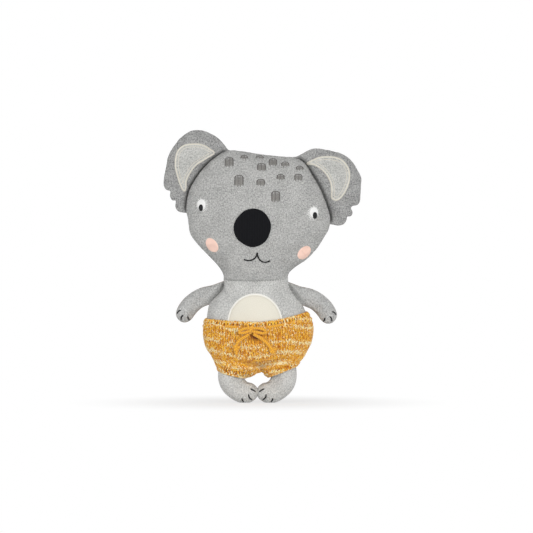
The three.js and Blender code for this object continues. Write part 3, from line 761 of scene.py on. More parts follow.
EAR_PATCH_SHARES = {
    "right": [
        (0.144, 0.213), (0.135, 0.352), (0.157, 0.517), (0.223, 0.672), (0.298, 0.779),
        (0.39, 0.814), (0.494, 0.769), (0.579, 0.686), (0.651, 0.572), (0.735, 0.409),
        (0.784, 0.255), (0.74, 0.27), (0.669, 0.338), (0.557, 0.373), (0.432, 0.374),
        (0.316, 0.311), (0.226, 0.255),
    ],
    "left": [
        (0.153, 0.18), (0.15, 0.34), (0.161, 0.492), (0.197, 0.641), (0.267, 0.81),
        (0.34, 0.905), (0.436, 0.942), (0.515, 0.924), (0.612, 0.828), (0.686, 0.696),
        (0.739, 0.558), (0.765, 0.413), (0.745, 0.333), (0.709, 0.308), (0.629, 0.379),
        (0.532, 0.443), (0.419, 0.456), (0.31, 0.412), (0.199, 0.295),
    ],
}


def on_head(shares):
    return [(x * HEAD_HALF_WIDTH, NECK_Z + z * HEAD_HEIGHT) for x, z in shares]


def on_torso(shares, half_width=TORSO_HALF_WIDTH):
    return [(x * half_width, TORSO_BOTTOM_Z + z * TORSO_HEIGHT) for x, z in shares]


def on_arm(side, shares):
    way = SIDES[side]
    return [(SHOULDER_X[side] + way * x * ARM_REACH, SHOULDER_Z[side] + z * ARM_DROP) for x, z in shares]


def on_leg(side, shares):
    way = SIDES[side]
    middle = LEG_MID_X + way * LEG_SPREAD
    return [(middle + way * x * LEG_HALF_WIDTH, HIP_Z + z * HIP_Z) for x, z in shares]


def on_ear(side, shares):
    lean = math.radians(EAR_LEAN[side])
    way = SIDES[side]
    top = array(EAR_TOP[side])
    down = array((way * math.sin(lean), -math.cos(lean)))
    out = array((way * math.cos(lean), math.sin(lean)))
    return [top + a * EAR_CHORD * down + b * EAR_REACH[side] * out for a, b in shares]


def bumpy(flat, size, seed):
    """Gentle unevenness of stuffing, from about -1 to 1, for each flat point."""
    return array([noise.noise(Vector((x / size + seed, z / size, seed * 1.7))) for x, z in flat])


def settle(points, faces, held):
    """Where a skin's cloth comes to rest: its filling presses it out, and its seams hold it."""
    trial = mesh_object("cloth_trial", points, faces)
    trial.vertex_groups.new(name="held").add([int(i) for i in np.flatnonzero(held)], 1.0, "REPLACE")
    cloth = trial.modifiers.new("cloth", "CLOTH").settings
    cloth.vertex_group_mass = "held"
    cloth.use_pressure = True
    cloth.uniform_pressure_force = FILLING_PRESSURE
    cloth.shrink_min = -CLOTH_SLACK
    cloth.effector_weights.gravity = 0
    for step in range(1, CLOTH_FRAMES + 1):
        bpy.context.scene.frame_set(step)
    found = trial.evaluated_get(bpy.context.evaluated_depsgraph_get())
    rested = np.empty(3 * len(points))
    found.data.vertices.foreach_get("co", rested)
    bpy.data.objects.remove(trial)
    bpy.context.scene.frame_set(1)
    move = rested.reshape(-1, 3) - points
    size = np.maximum(np.linalg.norm(move, axis=1), 1e-12)[:, None]
    return points + move * np.minimum(size, MOST_CLOTH_MOVE) / size


class Form:
    """A stuffed skin: two panels sewn together round an outline, and what can be laid on it."""

    def __init__(self, outline, depth, pitch, pinch, seed, line=None, shape=None, drawn_back=0.0):
        self.outline = outline
        self.flat, self.faces = cut_cloth(outline, pitch, [share * pitch for share in INSET_SHARES], line)
        near, along = edge_distance(self.flat, outline)
        self.edge = near < 1e-6
        height = puff(self.flat, self.faces, outline, pinch) * depth
        if shape is not None:
            height = shape(self.flat, height)
        dents = sum(bumpy(self.flat, size, seed + shift) * deep for size, deep, shift in DENTS)
        fade = smoothstep(near, 0, DENT_FADE)
        puckers = np.sin(along / PUCKER_PITCH + 2 * bumpy(self.flat, 15 * MM, seed + 9))
        puckers *= np.exp(-near / PUCKER_REACH) * smoothstep(near, 0, 1 * MM) * PUCKER_DEPTH
        crease = body_crease(self.flat) if drawn_back else np.zeros(len(near))
        height *= 1 - CREASE_PINCH * crease
        drawn = drawn_back * crease * smoothstep(near, 0, 2 * CREASE_WIDTH)
        self.points = np.concatenate([
            np.stack([
                self.flat[:, 0],
                way * np.where(self.edge, 0, height - way * dents * fade + puckers) + drawn,
                self.flat[:, 1],
            ], axis=1)
            for way in (-1, 1)
        ])
        held = self.edge | (crease > STILL_SHARE)
        if line is not None:
            held[len(outline):len(outline) + len(line)] = True
        used, order = self.all_faces(self.faces)
        self.points[used] = settle(self.points[used], order, np.concatenate([held, held])[used])
        self.points[:, 2] = np.maximum(self.points[:, 2], 0)
        front = [Vector(p) for p in self.points[:len(self.flat)]]
        self.front = BVHTree.FromPolygons(front, [tuple(int(i) for i in f) for f in self.faces])

    def all_faces(self, faces):
        """Which points the front panel's faces and their twins at the back use, and those faces
        counted among these points."""
        size = len(self.flat)
        twin = np.where(self.edge, np.arange(size), np.arange(size) + size)
        faces = np.concatenate([faces, twin[faces][:, ::-1]])
        used, order = np.unique(faces, return_inverse=True)
        return used, order.reshape(faces.shape)

    def skin(self, pick=None):
        """The closed skin's points, faces and cloth coordinates, or of the faces picked."""
        picked = self.faces if pick is None else self.faces[pick(self.flat[self.faces].mean(1))]
        used, order = self.all_faces(picked)
        return self.points[used], order, np.concatenate([self.flat, self.flat])[used]

    def depth_at(self, x, z):
        """Where a line from the front at x and z meets the front panel, if it does."""
        return self.front.ray_cast(Vector((x, -1, z)), Vector((0, 1, 0)))

    def lay(self, flat, lift):
        """Points over the front panel at the given flat places, lifted off it, and their ways."""
        lift = np.broadcast_to(array(lift), (len(flat),))
        laid, ways = [], []
        for (x, z), rise in zip(flat, lift):
            place, way, _, _ = self.depth_at(x, z)
            if place is None:
                place, way, _, _ = self.front.find_nearest(Vector((x, 0, z)))
            if way.y > 0:
                way = -way
            laid.append(tuple(place + way * rise))
            ways.append(tuple(way))
        return array(laid), array(ways)


# The stuffed forms
def seam_height(x):
    """The seam between head and torso sags a little between its ends."""
    (left, left_z), (right, right_z) = seam_ends
    share = np.clip((x - left) / (right - left), 0, 1)
    return left_z + share * (right_z - left_z) - NECK_SAG * 4 * share * (1 - share)


def body_depth(flat, height):
    """The torso is fuller than the head's own stuffing would make it, and the neck is drawn in."""
    low = smoothstep(flat[:, 1], NECK_Z + 10 * MM, NECK_Z - 45 * MM)
    torso = height * (1 + low * (TORSO_DEPTH / TORSO_FIRST_DEPTH - 1))
    groove = NECK_GROOVE * np.exp(-((flat[:, 1] - seam_height(flat[:, 0])) / (1.4 * MM)) ** 2)
    return torso - groove * (height > 3 * MM)


def body_crease(flat):
    """From 0 to 1, how near an ear or arm is to where it is sewn on behind the body's rim."""
    near, _ = edge_distance(flat, body_outline)
    return (np.exp(-(near / CREASE_WIDTH) ** 2) + 0.4 * np.exp(-near / (3 * CREASE_WIDTH))) / 1.4


def seam_end(way):
    """The point of the body's outline at one side, just above the neck."""
    off = np.abs(body_outline[:, 1] - NECK_Z - SEAM_END_RISE) + 1e3 * (way * body_outline[:, 0] < 0)
    return body_outline[np.argmin(off)]


def above_seam(middles):
    return middles[:, 1] > np.interp(middles[:, 0], seam[:, 0], seam[:, 1])


def stuffed(name, form, material, rides, fill=0.8, pick=None):
    nodes = [f"{name}_{node}" for node in ("front_panel", "back_panel", "filling")]
    piece = add_piece(f"{name}_skin", [form.skin(pick)], material, rides, *nodes)


body_outline = loop_of(on_head(HEAD_OUTLINE_SHARES) + on_torso(TORSO_OUTLINE_SHARES), 420)
seam_ends = [seam_end(way) for way in (-1, 1)]
seam_x = np.linspace(seam_ends[0][0], seam_ends[1][0], 32)[1:-1]
seam_line = np.stack([seam_x, seam_height(seam_x)], axis=1)
seam = np.concatenate([seam_ends[:1], seam_line, seam_ends[1:]])
body = Form(
    body_outline, HEAD_DEPTH, pitch=2.6 * MM, pinch=0.56, seed=1.3, line=seam_line, shape=body_depth,
)
NECK_BLEND = ("torso", "head", (0, 0, NECK_Z - 12 * MM), (0, 0, NECK_Z + 12 * MM))
stuffed("head", body, GREY, NECK_BLEND, pick=above_seam)
stuffed("torso", body, TORSO_GREY, NECK_BLEND, pick=lambda middles: ~above_seam(middles))

# How a kind of limb is stuffed: its depth, its mesh's pitch, the power that its height is raised
# to, the seed of its dents, its knit and how full it is
LIMB_FORMS = {
    "arm": (ARM_DEPTH, 1.8 * MM, 0.52, 3.1, ARM_GREY_PAINTED_LIGHT, 0.8),
    "leg": (LEG_DEPTH, 2 * MM, 0.52, 6.1, LEG_GREY_PAINTED_LIGHT, 0.8),
    "ear": (EAR_DEPTH, 2.2 * MM, 0.42, 9.1, EAR_GREY, 0.6),
}
# The limbs' forms, and for each piece a blend: one body, another, and two places between them
forms, blends = {"body": body}, {"body": NECK_BLEND}
for side, way in SIDES.items():
    hinges = {
        "arm": ("torso", on_arm(side, ARM_HINGE_SHARES)),
        "leg": ("torso", [(LEG_MID_X + way * x * MM, z * MM) for x, z in LEG_HINGE_MM]),
        "ear": ("head", on_ear(side, EAR_HINGE_SHARES)),
    }
    for limb, (base, (start, end)) in hinges.items():
        name = f"{limb}_{side}"
        blends[name] = (base, name, (start[0], 0, start[1]), (end[0], 0, end[1]))
    outlines = {
        "arm": loop_of(on_arm(side, ARM_OUTLINE_SHARES), 150),
        "leg": loop_of(on_leg(side, LEG_OUTLINE_SHARES), 190),
        "ear": loop_of(on_ear(side, EAR_OUTLINE_SHARES[side]), 260),
    }
    outlines["leg"][:, 1] = np.maximum(outlines["leg"][:, 1], 0)
    for limb, outline in outlines.items():
        name = f"{limb}_{side}"
        depth, pitch, pinch, seed, material, fill = LIMB_FORMS[limb]
        forms[name] = Form(outline, depth, pitch, pinch, seed + way, drawn_back=CREASE_DRAW.get(limb, 0))
        stuffed(name, forms[name], material, blends[name], fill)


def add_seam(name, radius, material):
    """The ridge along the seam that joins a form's two panels."""
    form = forms[name]
    path = form.points[:len(form.outline)].copy()
    path[:, 2] = np.maximum(path[:, 2], radius)
    add_piece(f"{name}_seam", [tube(path, radius, 6, closed=True)], material, blends[name])


add_seam("body", 0.45 * MM, SEAM_THREAD)
for side in SIDES:
    for limb, material in (("arm", PIPING_AND_REFLECTION), ("leg", PIPING_AND_REFLECTION), ("ear", SEAM_THREAD)):
        add_seam(f"{limb}_{side}", 0.5 * MM, material)


# Felt, patches and embroidery
def patch(name, form, outline, sizes_mm, material, rides, *nodes, base=0.0, dome=0.0, sewn_on=None):
    """A flat piece laid on a form, with a rounded edge that dips into the cloth. Its sizes are its
    thickness, its edge's width and its mesh's pitch. sewn_on, what a piece of cloth is sewn on, is not used."""
    thickness, edge, pitch = (size * MM for size in sizes_mm)
    flat, faces = cut_cloth(outline, pitch, [edge * 0.25, edge * 0.6, edge])
    near, _ = edge_distance(flat, outline)
    round_share = np.sqrt(np.clip(1 - (1 - np.clip(near / edge, 0, 1)) ** 2, 0, 1))
    lift = base + thickness * round_share + dome * smoothstep(near, 0, near.max())
    points, _ = form.lay(flat, lift)
    skirt, _ = form.lay(outline, base - 0.6 * MM)
    count, size = len(outline), len(flat)
    order = [int(np.argmin(np.linalg.norm(flat - p, axis=1))) for p in outline]
    walls = [(order[i], size + i, size + (i + 1) % count, order[(i + 1) % count]) for i in range(count)]
    part = (np.concatenate([points, skirt]), [*faces, *walls], np.concatenate([flat, outline]))
    piece = add_piece(name, [part], material, rides, *nodes)
    if sewn_on:
        abs(signed_area(outline))


def thread(form, points, radius, count, lift, flatten=0.8, closed=False):
    """A thread that follows a line over a form. radius is one number or one for each point."""
    laid, ways = form.lay(spline(points, count, closed), lift)
    radii = radius if closed or np.ndim(radius) else rounded_ends(count, radius)
    return tube(laid, radii, 8, flatten, ways, closed)


def nose_outline(count):
    angle = np.linspace(0, 2 * math.pi, count, endpoint=False)
    reach = NOSE_RADIUS * (1 + sum(a * np.sin(k * angle + p) for k, a, p in NOSE_WAVES))
    return np.stack([NOSE[0] + reach * np.cos(angle), NOSE[1] + reach * np.sin(angle)], axis=1)


def eye_ray(eye, way, index):
    """One stitch of white thread over an eye's rim. Those towards the nose and below are longer."""
    angle = 2 * math.pi * index / EYE_RAYS
    to_nose = max(0, -way * math.cos(angle) - 0.4 * math.sin(angle))
    reach = 1.16 + 0.12 * math.sin(3.7 * index) + 0.4 * to_nose
    line = [
        (eye[0] + EYE_SIZE[0] * s * math.cos(angle), eye[1] + EYE_SIZE[1] * s * math.sin(angle))
        for s in (0.8, 1.0, reach)
    ]
    return thread(body, line, 0.42 * MM, 6, 0.15 * MM)


patch(
    "nose", body, nose_outline(120), (1.9, 1.5, 1.6), BLACK, "head", "nose_patch",
    dome=NOSE_DOME, sewn_on="head_skin",
)
for side, way in SIDES.items():
    eye = EYES[side]
    pupil = oval(eye[0] + PUPIL_SHIFT[side], eye[1] - PUPIL_DROP, *PUPIL_SIZE, 28)
    cheek = oval(*CHEEKS[side], *CHEEK_SIZE, 44, CHEEK_TILT[side])
    name = f"eye_white_{side}"
    patch(name, body, oval(*eye, *EYE_SIZE, 40), (0.7, 0.8, 1), WHITE_THREAD, "head", name)
    add_piece(f"eye_rays_{side}", [eye_ray(eye, way, k) for k in range(EYE_RAYS)], WHITE_THREAD, "head")
    name = f"pupil_{side}"
    patch(name, body, pupil, (0.7, 0.7, 0.8), BLACK_THREAD, "head", name, base=0.6 * MM)
    name = f"cheek_{side}"
    patch(name, body, cheek, (0.7, 0.7, 1.1), PINK_THREAD, "head", name)

MOUTH_SHARES = [
    [(-1, -0.8), (-0.7, -0.94), (-0.36, -0.84), (-0.1, -0.5), (0, 0)],
    [(0, 0), (0.04, -0.42), (0.22, -0.9), (0.56, -1.14), (0.97, -0.98)],
]
mouth = []
for shares in MOUTH_SHARES:
    line = [(MOUTH[0] + x * MOUTH_SIZE[0], MOUTH[1] + z * MOUTH_SIZE[1]) for x, z in shares]
    radii = MOUTH_THREAD * (0.72 + 0.28 * np.abs(np.sin(np.linspace(0, 6 * math.pi, 60))))
    mouth.append(thread(body, line, radii, 60, 0.25 * MM))
add_piece("mouth", mouth, BLACK_THREAD, "head", "mouth_stitch")

# Forehead flecks: left and right edge, bottom and top, in millimetres
FLECKS_MM = [
    (-39.6, -30.2, 277, 288.6), (-21.2, -13.5, 286.2, 291.2), (-3.5, 5.4, 287.3, 291.2),
    (-1.8, 7.8, 272, 281.4), (11.8, 21, 278.1, 287.3), (26.4, 35.2, 277.3, 283.3),
    (43.7, 52, 273.2, 278.6), (-28.3, -18.4, 253.6, 267.2), (-2.4, 6.8, 254.5, 262.5),
    (21.2, 29.5, 261.3, 268.4), (41.8, 50.5, 260.6, 268.8), (14.9, 24.3, 235.4, 248.4),
]
FLECK_STRANDS = 5
# Half of the arch over a fleck: shares of its half width across, and down from its top
FLECK_ARCH_SHARES = [(0.97, 0.5), (0.7, 0.16)]


def fleck_thread(points_mm, radius, count, lift, flatten):
    return thread(body, [(x * MM, z * MM) for x, z in points_mm], radius, count, lift, flatten)


def fleck_light(box, index):
    """The lighter strands of one knitted fleck, which end unevenly."""
    left, right, low, high = box
    middle, half = (left + right) / 2, (right - left) / 2
    strands = []
    for k in range(FLECK_STRANDS):
        across = 2 * (k + 0.5) / FLECK_STRANDS - 1
        x = middle + across * half * 0.9
        top = high - 0.5 - 0.3 * half * across**2
        bottom = low + 1.1 * ((k + index) % 2) + 0.5 * math.sin(5.1 * k + index)
        line = [(x, bottom), (x, (bottom + top) / 2), (x, top)]
        strands.append(fleck_thread(line, half / FLECK_STRANDS * 0.8 * MM, 9, 0.0, 0.3))
    return strands


def fleck_dark(box):
    """The darker arch over a fleck, and the rib down its middle."""
    left, right, low, high = box
    middle, half = (left + right) / 2, (right - left) / 2
    foot = min(low + 1.2, high - 3.4)
    side = [(half, foot), (half, (foot + high) / 2)]
    side += [(a * half, high - down * half) for a, down in FLECK_ARCH_SHARES]
    arch = [(middle - x, z) for x, z in side] + [(middle, high)] + [(middle + x, z) for x, z in side[::-1]]
    rib = [(middle, z) for z in (low + 0.8, (low + high) / 2, high - 1)]
    return [fleck_thread(arch, 0.5 * MM, 30, 0.1 * MM, 0.5), fleck_thread(rib, 0.36 * MM, 8, 0.14 * MM, 0.5)]


light = [strand for index, box in enumerate(FLECKS_MM) for strand in fleck_light(box, index)]
add_piece("forehead_flecks", light, FLECK_THREAD, "head")
add_piece("fleck_edges", [strand for box in FLECKS_MM for strand in fleck_dark(box)], FLECK_EDGE, "head")

for side in SIDES:
    for limb, place, claws in (("arm", on_arm, ARM_CLAW_SHARES), ("leg", on_leg, LEG_CLAW_SHARES)):
        name = f"{limb}_{side}"
        for k, line in enumerate(claws, 1):
            claw = thread(forms[name], place(side, line), 0.9 * MM, 9, 0.2 * MM)
            add_piece(f"{name}_stitch_{k}", [claw], BLACK_THREAD, name, f"{name}_claw_{k}")

# Ear linings with a raised edging, and then a fine line of stitching inside the edging
for side in SIDES:
    name = f"ear_{side}"
    rim = loop_of(on_ear(side, EAR_PATCH_SHARES[side]), 150)
    patch(
        f"lining_{side}", forms[name], rim, (0.7, 0.6, 2), LINING_GREY, blends[name],
        f"ear_lining_{side}", sewn_on=f"{name}_skin",
    )
    edging = thread(forms[name], rim, 1.15 * MM, 200, 0.5 * MM, 0.75, closed=True)
    add_piece(f"edging_{side}", [edging], CREAM_THREAD, blends[name], f"ear_edging_{side}")
for side in SIDES:
    name = f"ear_{side}"
    line = inset(loop_of(on_ear(side, EAR_PATCH_SHARES[side]), 110), 3.1 * MM, 0.93)
    stitches = thread(forms[name], line, 0.42 * MM, 170, 0.75 * MM, closed=True)
    add_piece(f"topstitch_{side}", [stitches], CREAM_THREAD, blends[name])

# Belly patch with a satin edge and a fine line of stitching inside it
patch(
    "belly", body, oval(*BELLY, *BELLY_SIZE, 130), (0.7, 0.8, 2.4), CREAM, "torso", "belly_patch",
    sewn_on="torso_skin",
)
for name, inward_mm, radius_mm, lift_mm, flatten, material, nodes in (
    ("belly_edge", 0.6, 1.1, 0.5, 0.6, EDGE_THREAD, ["belly_edging"]),
    ("belly_topstitch", 2.6, 0.35, 0.85, 0.8, CREAM_THREAD, []),
):
    line = oval(*BELLY, *[size - inward_mm * MM for size in BELLY_SIZE], 60)
    ring = thread(body, line, radius_mm * MM, 180, lift_mm * MM, flatten, closed=True)
    add_piece(name, [ring], material, "torso", *nodes)

# The seam where the head is sewn on: a line of small stitches
NECK_STITCHES = 22
NECK_STITCH_STEP_MM = 3.05
NECK_STITCH_START_MM = -36.5
seam_stitches = []
for k in range(NECK_STITCHES):
    x = array((0, 1, 2)) * MM + (NECK_STITCH_STEP_MM * k + NECK_STITCH_START_MM) * MM
    line = np.stack([x, seam_height(x) + array((-0.4, -0.3, -0.2)) * MM], axis=1)
    seam_stitches.append(thread(body, line, 0.3 * MM, 5, 0.05 * MM))
add_piece("neck_stitches", seam_stitches, SEAM_THREAD, "torso")

# Shorts: how the cloth hangs, as shares of SHORTS_HALF_WIDTH and of the torso's height
SIDE_SEAM_SHARES = {
    "right": [
        (-0.965, 0.52), (-0.99, 0.47), (-1, 0.4), (-1, 0.3), (-0.985, 0.235), (-0.965, 0.18),
        (-0.925, 0.125), (-0.87, 0.075), (-0.83, 0.025), (-0.79, -0.025), (-0.755, -0.08), (-0.705, -0.155),
    ],
    "left": [
        (0.865, 0.605), (0.915, 0.55), (0.955, 0.48), (0.975, 0.4), (0.97, 0.325), (0.94, 0.22),
        (0.91, 0.175), (0.87, 0.125), (0.83, 0.075), (0.775, 0.025), (0.715, -0.025), (0.685, -0.075),
    ],
}
FRONT_SEAM_SHARES = [(-0.03, 0.484), (-0.02, 0.3), (0.01, 0.1), (0.04, -0.06), (0.054, -0.129)]
INNER_HEM_SHARES = {"right": (-0.27, -0.228), "left": (0.172, -0.215)}
CROTCH_SHARE = 0.87
SPLIT_SHARES = (0.66, CROTCH_SHARE + 0.02)
# Half depths at levels from the waist to the hem, of the seat and of one leg
SEAT_DEPTHS_MM = [(0, 34.6), (0.12, 35.2), (0.3, 35.4), (0.55, 34), (0.87, 27), (1, 22)]
LEG_DEPTHS_MM = [(0, 30), (0.5, 30), (0.7, 27), (0.87, 22), (1, 17.6)]
# How square the seat is seen from above, where 1 is an oval
SQUARENESS = 0.87
# Gathers: the level that they are at, how far they reach and their strength
GATHERS = [(0.2, 0.16, 0.5), (0.86, 0.12, 1.0)]
GATHER_DEPTH = 0.55 * MM
# The fold and the hollow in front, and how deep they are
FOLD_X = 21.8 * MM
FOLD_DEPTH = 2.4 * MM
HOLLOW_DEPTH = 1.6 * MM
# Heights of the creamier rows at the front seam
CREAM_ROWS_MM = (95, 86, 67, 55, 42, 31)

# A row of knitting: its level, half a loop's height as a share of the seam, the yarn's radius, the
# seed of its unevenness and a loop's width in columns. Then how far its loops stand out, how far
# they lean, how far the row is lifted, and how far its loops draw together in pairs.
Row = namedtuple(
    "Row", "level reach radius_mm seed pitch relief_mm lean lift_mm pairs",
    defaults=(1.0, 0.5, 0.2, 0.0, 0.0),
)
ROW_STEP = (CUFF_SHARE - BAND_SHARE) / ROWS
BODY_ROWS = [
    Row(BAND_SHARE + k * ROW_STEP, ROW_STEP * 0.98, (0.9 if k < OPEN_ROWS else 1) * 0.62, k)
    for k in range(ROWS + 1)
]
# The waistband: a firm edge, tall loops with holes between, a row for the cord, shorter loops
WAIST_ROWS = [
    Row(0.018, 0.012, 0.72, 43, 0.8, 0.3, 0.08, 0.35),
    Row(0.05, 0.048, 0.78, 40, 1.2, 0.8, 0.12, 0.3, 0.04),
    Row(0.1, 0.018, 0.75, 41, 0.65, 0.4, 0.1, -0.3),
    Row(0.135, 0.03, 0.76, 42, 1.2, 0.7, 0.14, 0.4, 0.06),
]
# The cuff: one row of tall loops and a firm edge
CUFF_ROWS = [
    Row(0.94, 0.05, 0.8, 50, 1.5, 0.9, 0.12, 0.4, 0.08),
    Row(0.985, 0.012, 0.75, 51, 0.8, 0.3, 0.08, 0.2),
]
LOOP_STEPS = 10


def profile(level, table_mm):
    levels, values = array(table_mm).T
    return np.interp(level, levels, values * MM)


def squared(value):
    return np.sign(value) * np.abs(value) ** SQUARENESS


class TrouserLeg:
    """One half of the shorts: a net of points from the waist down to the hem, and round from the
    front seam past the side to the back seam. Columns count from the side, the front's above 0."""

    def __init__(self, side):
        self.side = side
        level = np.linspace(0, 1, LEVELS)
        outer, seam = (
            spline(on_torso(shares, SHORTS_HALF_WIDTH), LEVELS)
            for shares in (SIDE_SEAM_SHARES[side], FRONT_SEAM_SHARES)
        )
        inner = array(on_torso([INNER_HEM_SHARES[side]], SHORTS_HALF_WIDTH)[0])
        down = np.clip(level / CROTCH_SHARE, 0, 1)
        past = np.clip((level - CROTCH_SHARE) / (1 - CROTCH_SHARE), 0, 1)
        middle = np.stack([np.interp(down, level, seam[:, k]) for k in range(2)], axis=1)
        middle += past[:, None] * (inner - seam[-1])
        angle = np.linspace(0, math.pi, 2 * TURNS + 1)
        sine, cosine = np.sin(angle)[None], np.cos(angle)[None]
        split = smoothstep(level, *SPLIT_SHARES)[:, None]
        seat = (1 - split) * profile(level, SEAT_DEPTHS_MM)[:, None]
        leg = split * profile(level, LEG_DEPTHS_MM)[:, None]
        across = (1 - split) * squared(sine) + split * sine**2
        climb = (1 - split) * sine**ROW_CLIMB + split * sine**2
        x = middle[:, :1] + (outer[:, :1] - middle[:, :1]) * across
        y = -seat * squared(cosine) - leg * np.sin(2 * angle)[None]
        z = middle[:, 1:] + (outer[:, 1:] - middle[:, 1:]) * climb
        z += BACK_RISE * (1 - level[:, None]) ** 1.5 * (1 - climb) * (cosine < 0)
        self.net = np.stack([x, y, z], axis=2)
        self.clear_torso(np.abs(cosine[0]))
        self.wrinkle()
        self.measure()

    def clear_torso(self, facing):
        """Keeps the cloth outside the stuffed torso, and snug against it at the waist, but for
        its sides."""
        hugs = smoothstep(facing, *SNUG_FACING)
        for row, tight in zip(self.net, smoothstep(np.linspace(0, 1, LEVELS), *SNUG_LEVELS)):
            for point, snug in zip(row, hugs * tight):
                hit, _, _, _ = body.depth_at(point[0], point[2])
                if hit is not None and hit.y < 0 and point[2] > 55 * MM:
                    least = -hit.y + WAIST_GAP
                    loose = abs(point[1]) * (1 - snug) + least * snug
                    point[1] = math.copysign(max(loose, least), point[1])

    def wrinkle(self):
        """Gathers at the waist and the hem, and the fold and hollow that the photograph shows."""
        x, y, z = self.net[..., 0], self.net[..., 1], self.net[..., 2]
        level = np.linspace(0, 1, LEVELS)[:, None]
        turn = np.linspace(0, 1, 2 * TURNS + 1)[None]
        ends = sum(deep * np.exp(-((level - at) / reach) ** 2) for at, reach, deep in GATHERS)
        waves = np.sin(turn * 64 + 2.2 * np.sin(turn * 15)) + 0.6 * np.sin(turn * 37 + 1)
        fold = np.exp(-((x - FOLD_X - 0.1 * (z - 70 * MM)) / (2 * MM)) ** 2)
        fold *= smoothstep(z, 54 * MM, 64 * MM) * smoothstep(z, 88 * MM, 80 * MM)
        hollow = np.exp(-((x + 4.5 * MM) / (7 * MM)) ** 2 - ((z - 77 * MM) / (5.5 * MM)) ** 2)
        push = GATHER_DEPTH * ends * waves - (FOLD_DEPTH * fold + HOLLOW_DEPTH * hollow) * (y < 0)
        self.net = self.net + self.normals() * push[..., None] * (self.net[..., 2:] > 33 * MM)

    def normals(self):
        down = np.gradient(self.net, axis=0)
        around = np.gradient(self.net, axis=1)
        normal = np.cross(around, down) * -SIDES[self.side]
        return normal / np.maximum(np.linalg.norm(normal, axis=2), 1e-12)[..., None]

    def measure(self):
        """Where each column lies in the net, so that stitches keep their width."""
        steps = np.linalg.norm(np.diff(self.net, axis=1), axis=2)
        run = np.concatenate([np.zeros((LEVELS, 1)), np.cumsum(steps, axis=1)], axis=1)
        self.run = run - run[:, TURNS:TURNS + 1]
        self.front = -self.run[:, 0]
        self.back = self.run[:, -1]
        self.front_width = np.maximum(self.front / COLUMNS, LEAST_STITCH)
        self.back_width = np.maximum(self.back / COLUMNS, LEAST_STITCH)
        self.outward = self.normals()

    def ends(self, level):
        """The first and the last whole column at a level."""
        place = level * (LEVELS - 1)
        size = np.arange(LEVELS)
        front = np.interp(place, size, self.front / self.front_width)
        back = np.interp(place, size, self.back / self.back_width)
        return -int(back + 0.02), int(front + 0.02)

    def at(self, column, level):
        """Points and outward ways at columns and levels."""
        place = np.clip(level, 0, 1) * (LEVELS - 1)
        low = np.clip(place.astype(int), 0, LEVELS - 2)
        share = (place - low)[:, None]
        found = []
        for row in (low, low + 1):
            run = -column * np.where(column > 0, self.front_width[row], self.back_width[row])
            turn = np.empty(len(run))
            for value in np.unique(row):
                here = row == value
                turn[here] = np.interp(run[here], self.run[value], np.arange(2 * TURNS + 1))
            left = np.clip(turn.astype(int), 0, 2 * TURNS - 1)
            part = (turn - left)[:, None]
            for net in (self.net, self.outward):
                found.append(net[row, left] * (1 - part) + net[row, left + 1] * part)
        points = found[0] * (1 - share) + found[2] * share
        ways = found[1] * (1 - share) + found[3] * share
        return points, ways / np.linalg.norm(ways, axis=1)[:, None]

    def knit_row(self, row):
        """One yarn that runs round this half of the shorts in knitted loops."""
        first, last = self.ends(row.level)
        count = int((last - first) / row.pitch)
        t = np.arange(count * LOOP_STEPS + 1) / LOOP_STEPS
        wobble = array([noise.noise(Vector((v * 0.6, row.seed * 3.1, 0.3))) for v in t])
        column = t + row.lean * np.sin(4 * math.pi * t) - 0.06 * np.sin(2 * math.pi * t)
        column += row.pairs * np.sin(math.pi * t) + 0.05 * wobble
        column = first + np.clip(column, 0, count) * (last - first) / count
        down = row.level - row.reach * np.cos(2 * math.pi * t) * (1 + 0.12 * wobble)
        points, ways = self.at(column, down)
        lift = row.lift_mm * MM - row.relief_mm * MM * np.cos(4 * math.pi * t) + 0.2 * MM * wobble
        radii = row.radius_mm * MM * (1 + 0.1 * wobble)
        part, faces, uv = tube(points + ways * lift[:, None], radii, 6, 0.85, ways)
        return part, faces, uv + array((row.seed * 0.37 + SIDES[self.side] * 5, 0))

    def ground(self):
        """The cloth behind the yarn: a closed thin shell, in front and behind, with its edges. Its dark
        brown is painted shade in the holes between the loops.
        """
        layers = [self.net - self.outward * gap for gap in GROUND_GAPS]
        points = np.concatenate([layer.reshape(-1, 3) for layer in layers])
        outer, inner = np.arange(len(points)).reshape(2, LEVELS, 2 * TURNS + 1)
        faces = quads(outer[:-1, :-1], outer[:-1, 1:], outer[1:, 1:], outer[1:, :-1])
        faces += quads(inner[:-1, :-1], inner[1:, :-1], inner[1:, 1:], inner[:-1, 1:])
        for edge, twin in (
            (outer[0][::-1], inner[0][::-1]), (outer[-1], inner[-1]),
            (outer[:, 0], inner[:, 0]), (outer[::-1, -1], inner[::-1, -1]),
        ):
            faces += quads(edge[:-1], edge[1:], twin[1:], twin[:-1])
        if SIDES[self.side] < 0:
            faces = [face[::-1] for face in faces]
        return points, faces, points[:, [0, 2]]

    def cut_size(self):
        """How wide and long this half of the shorts lies flat, and its area."""
        width = float((self.front + self.back).max())
        length = float(along_line(self.net[:, TURNS])[-1])
        across = np.cross(self.net[1:, 1:] - self.net[:-1, :-1], self.net[1:, :-1] - self.net[:-1, 1:])
        return (width, length), min(float(np.linalg.norm(across, axis=2).sum() / 2), width * length)


def quads(a, b, c, d):
    return list(zip(a.ravel(), b.ravel(), c.ravel(), d.ravel()))


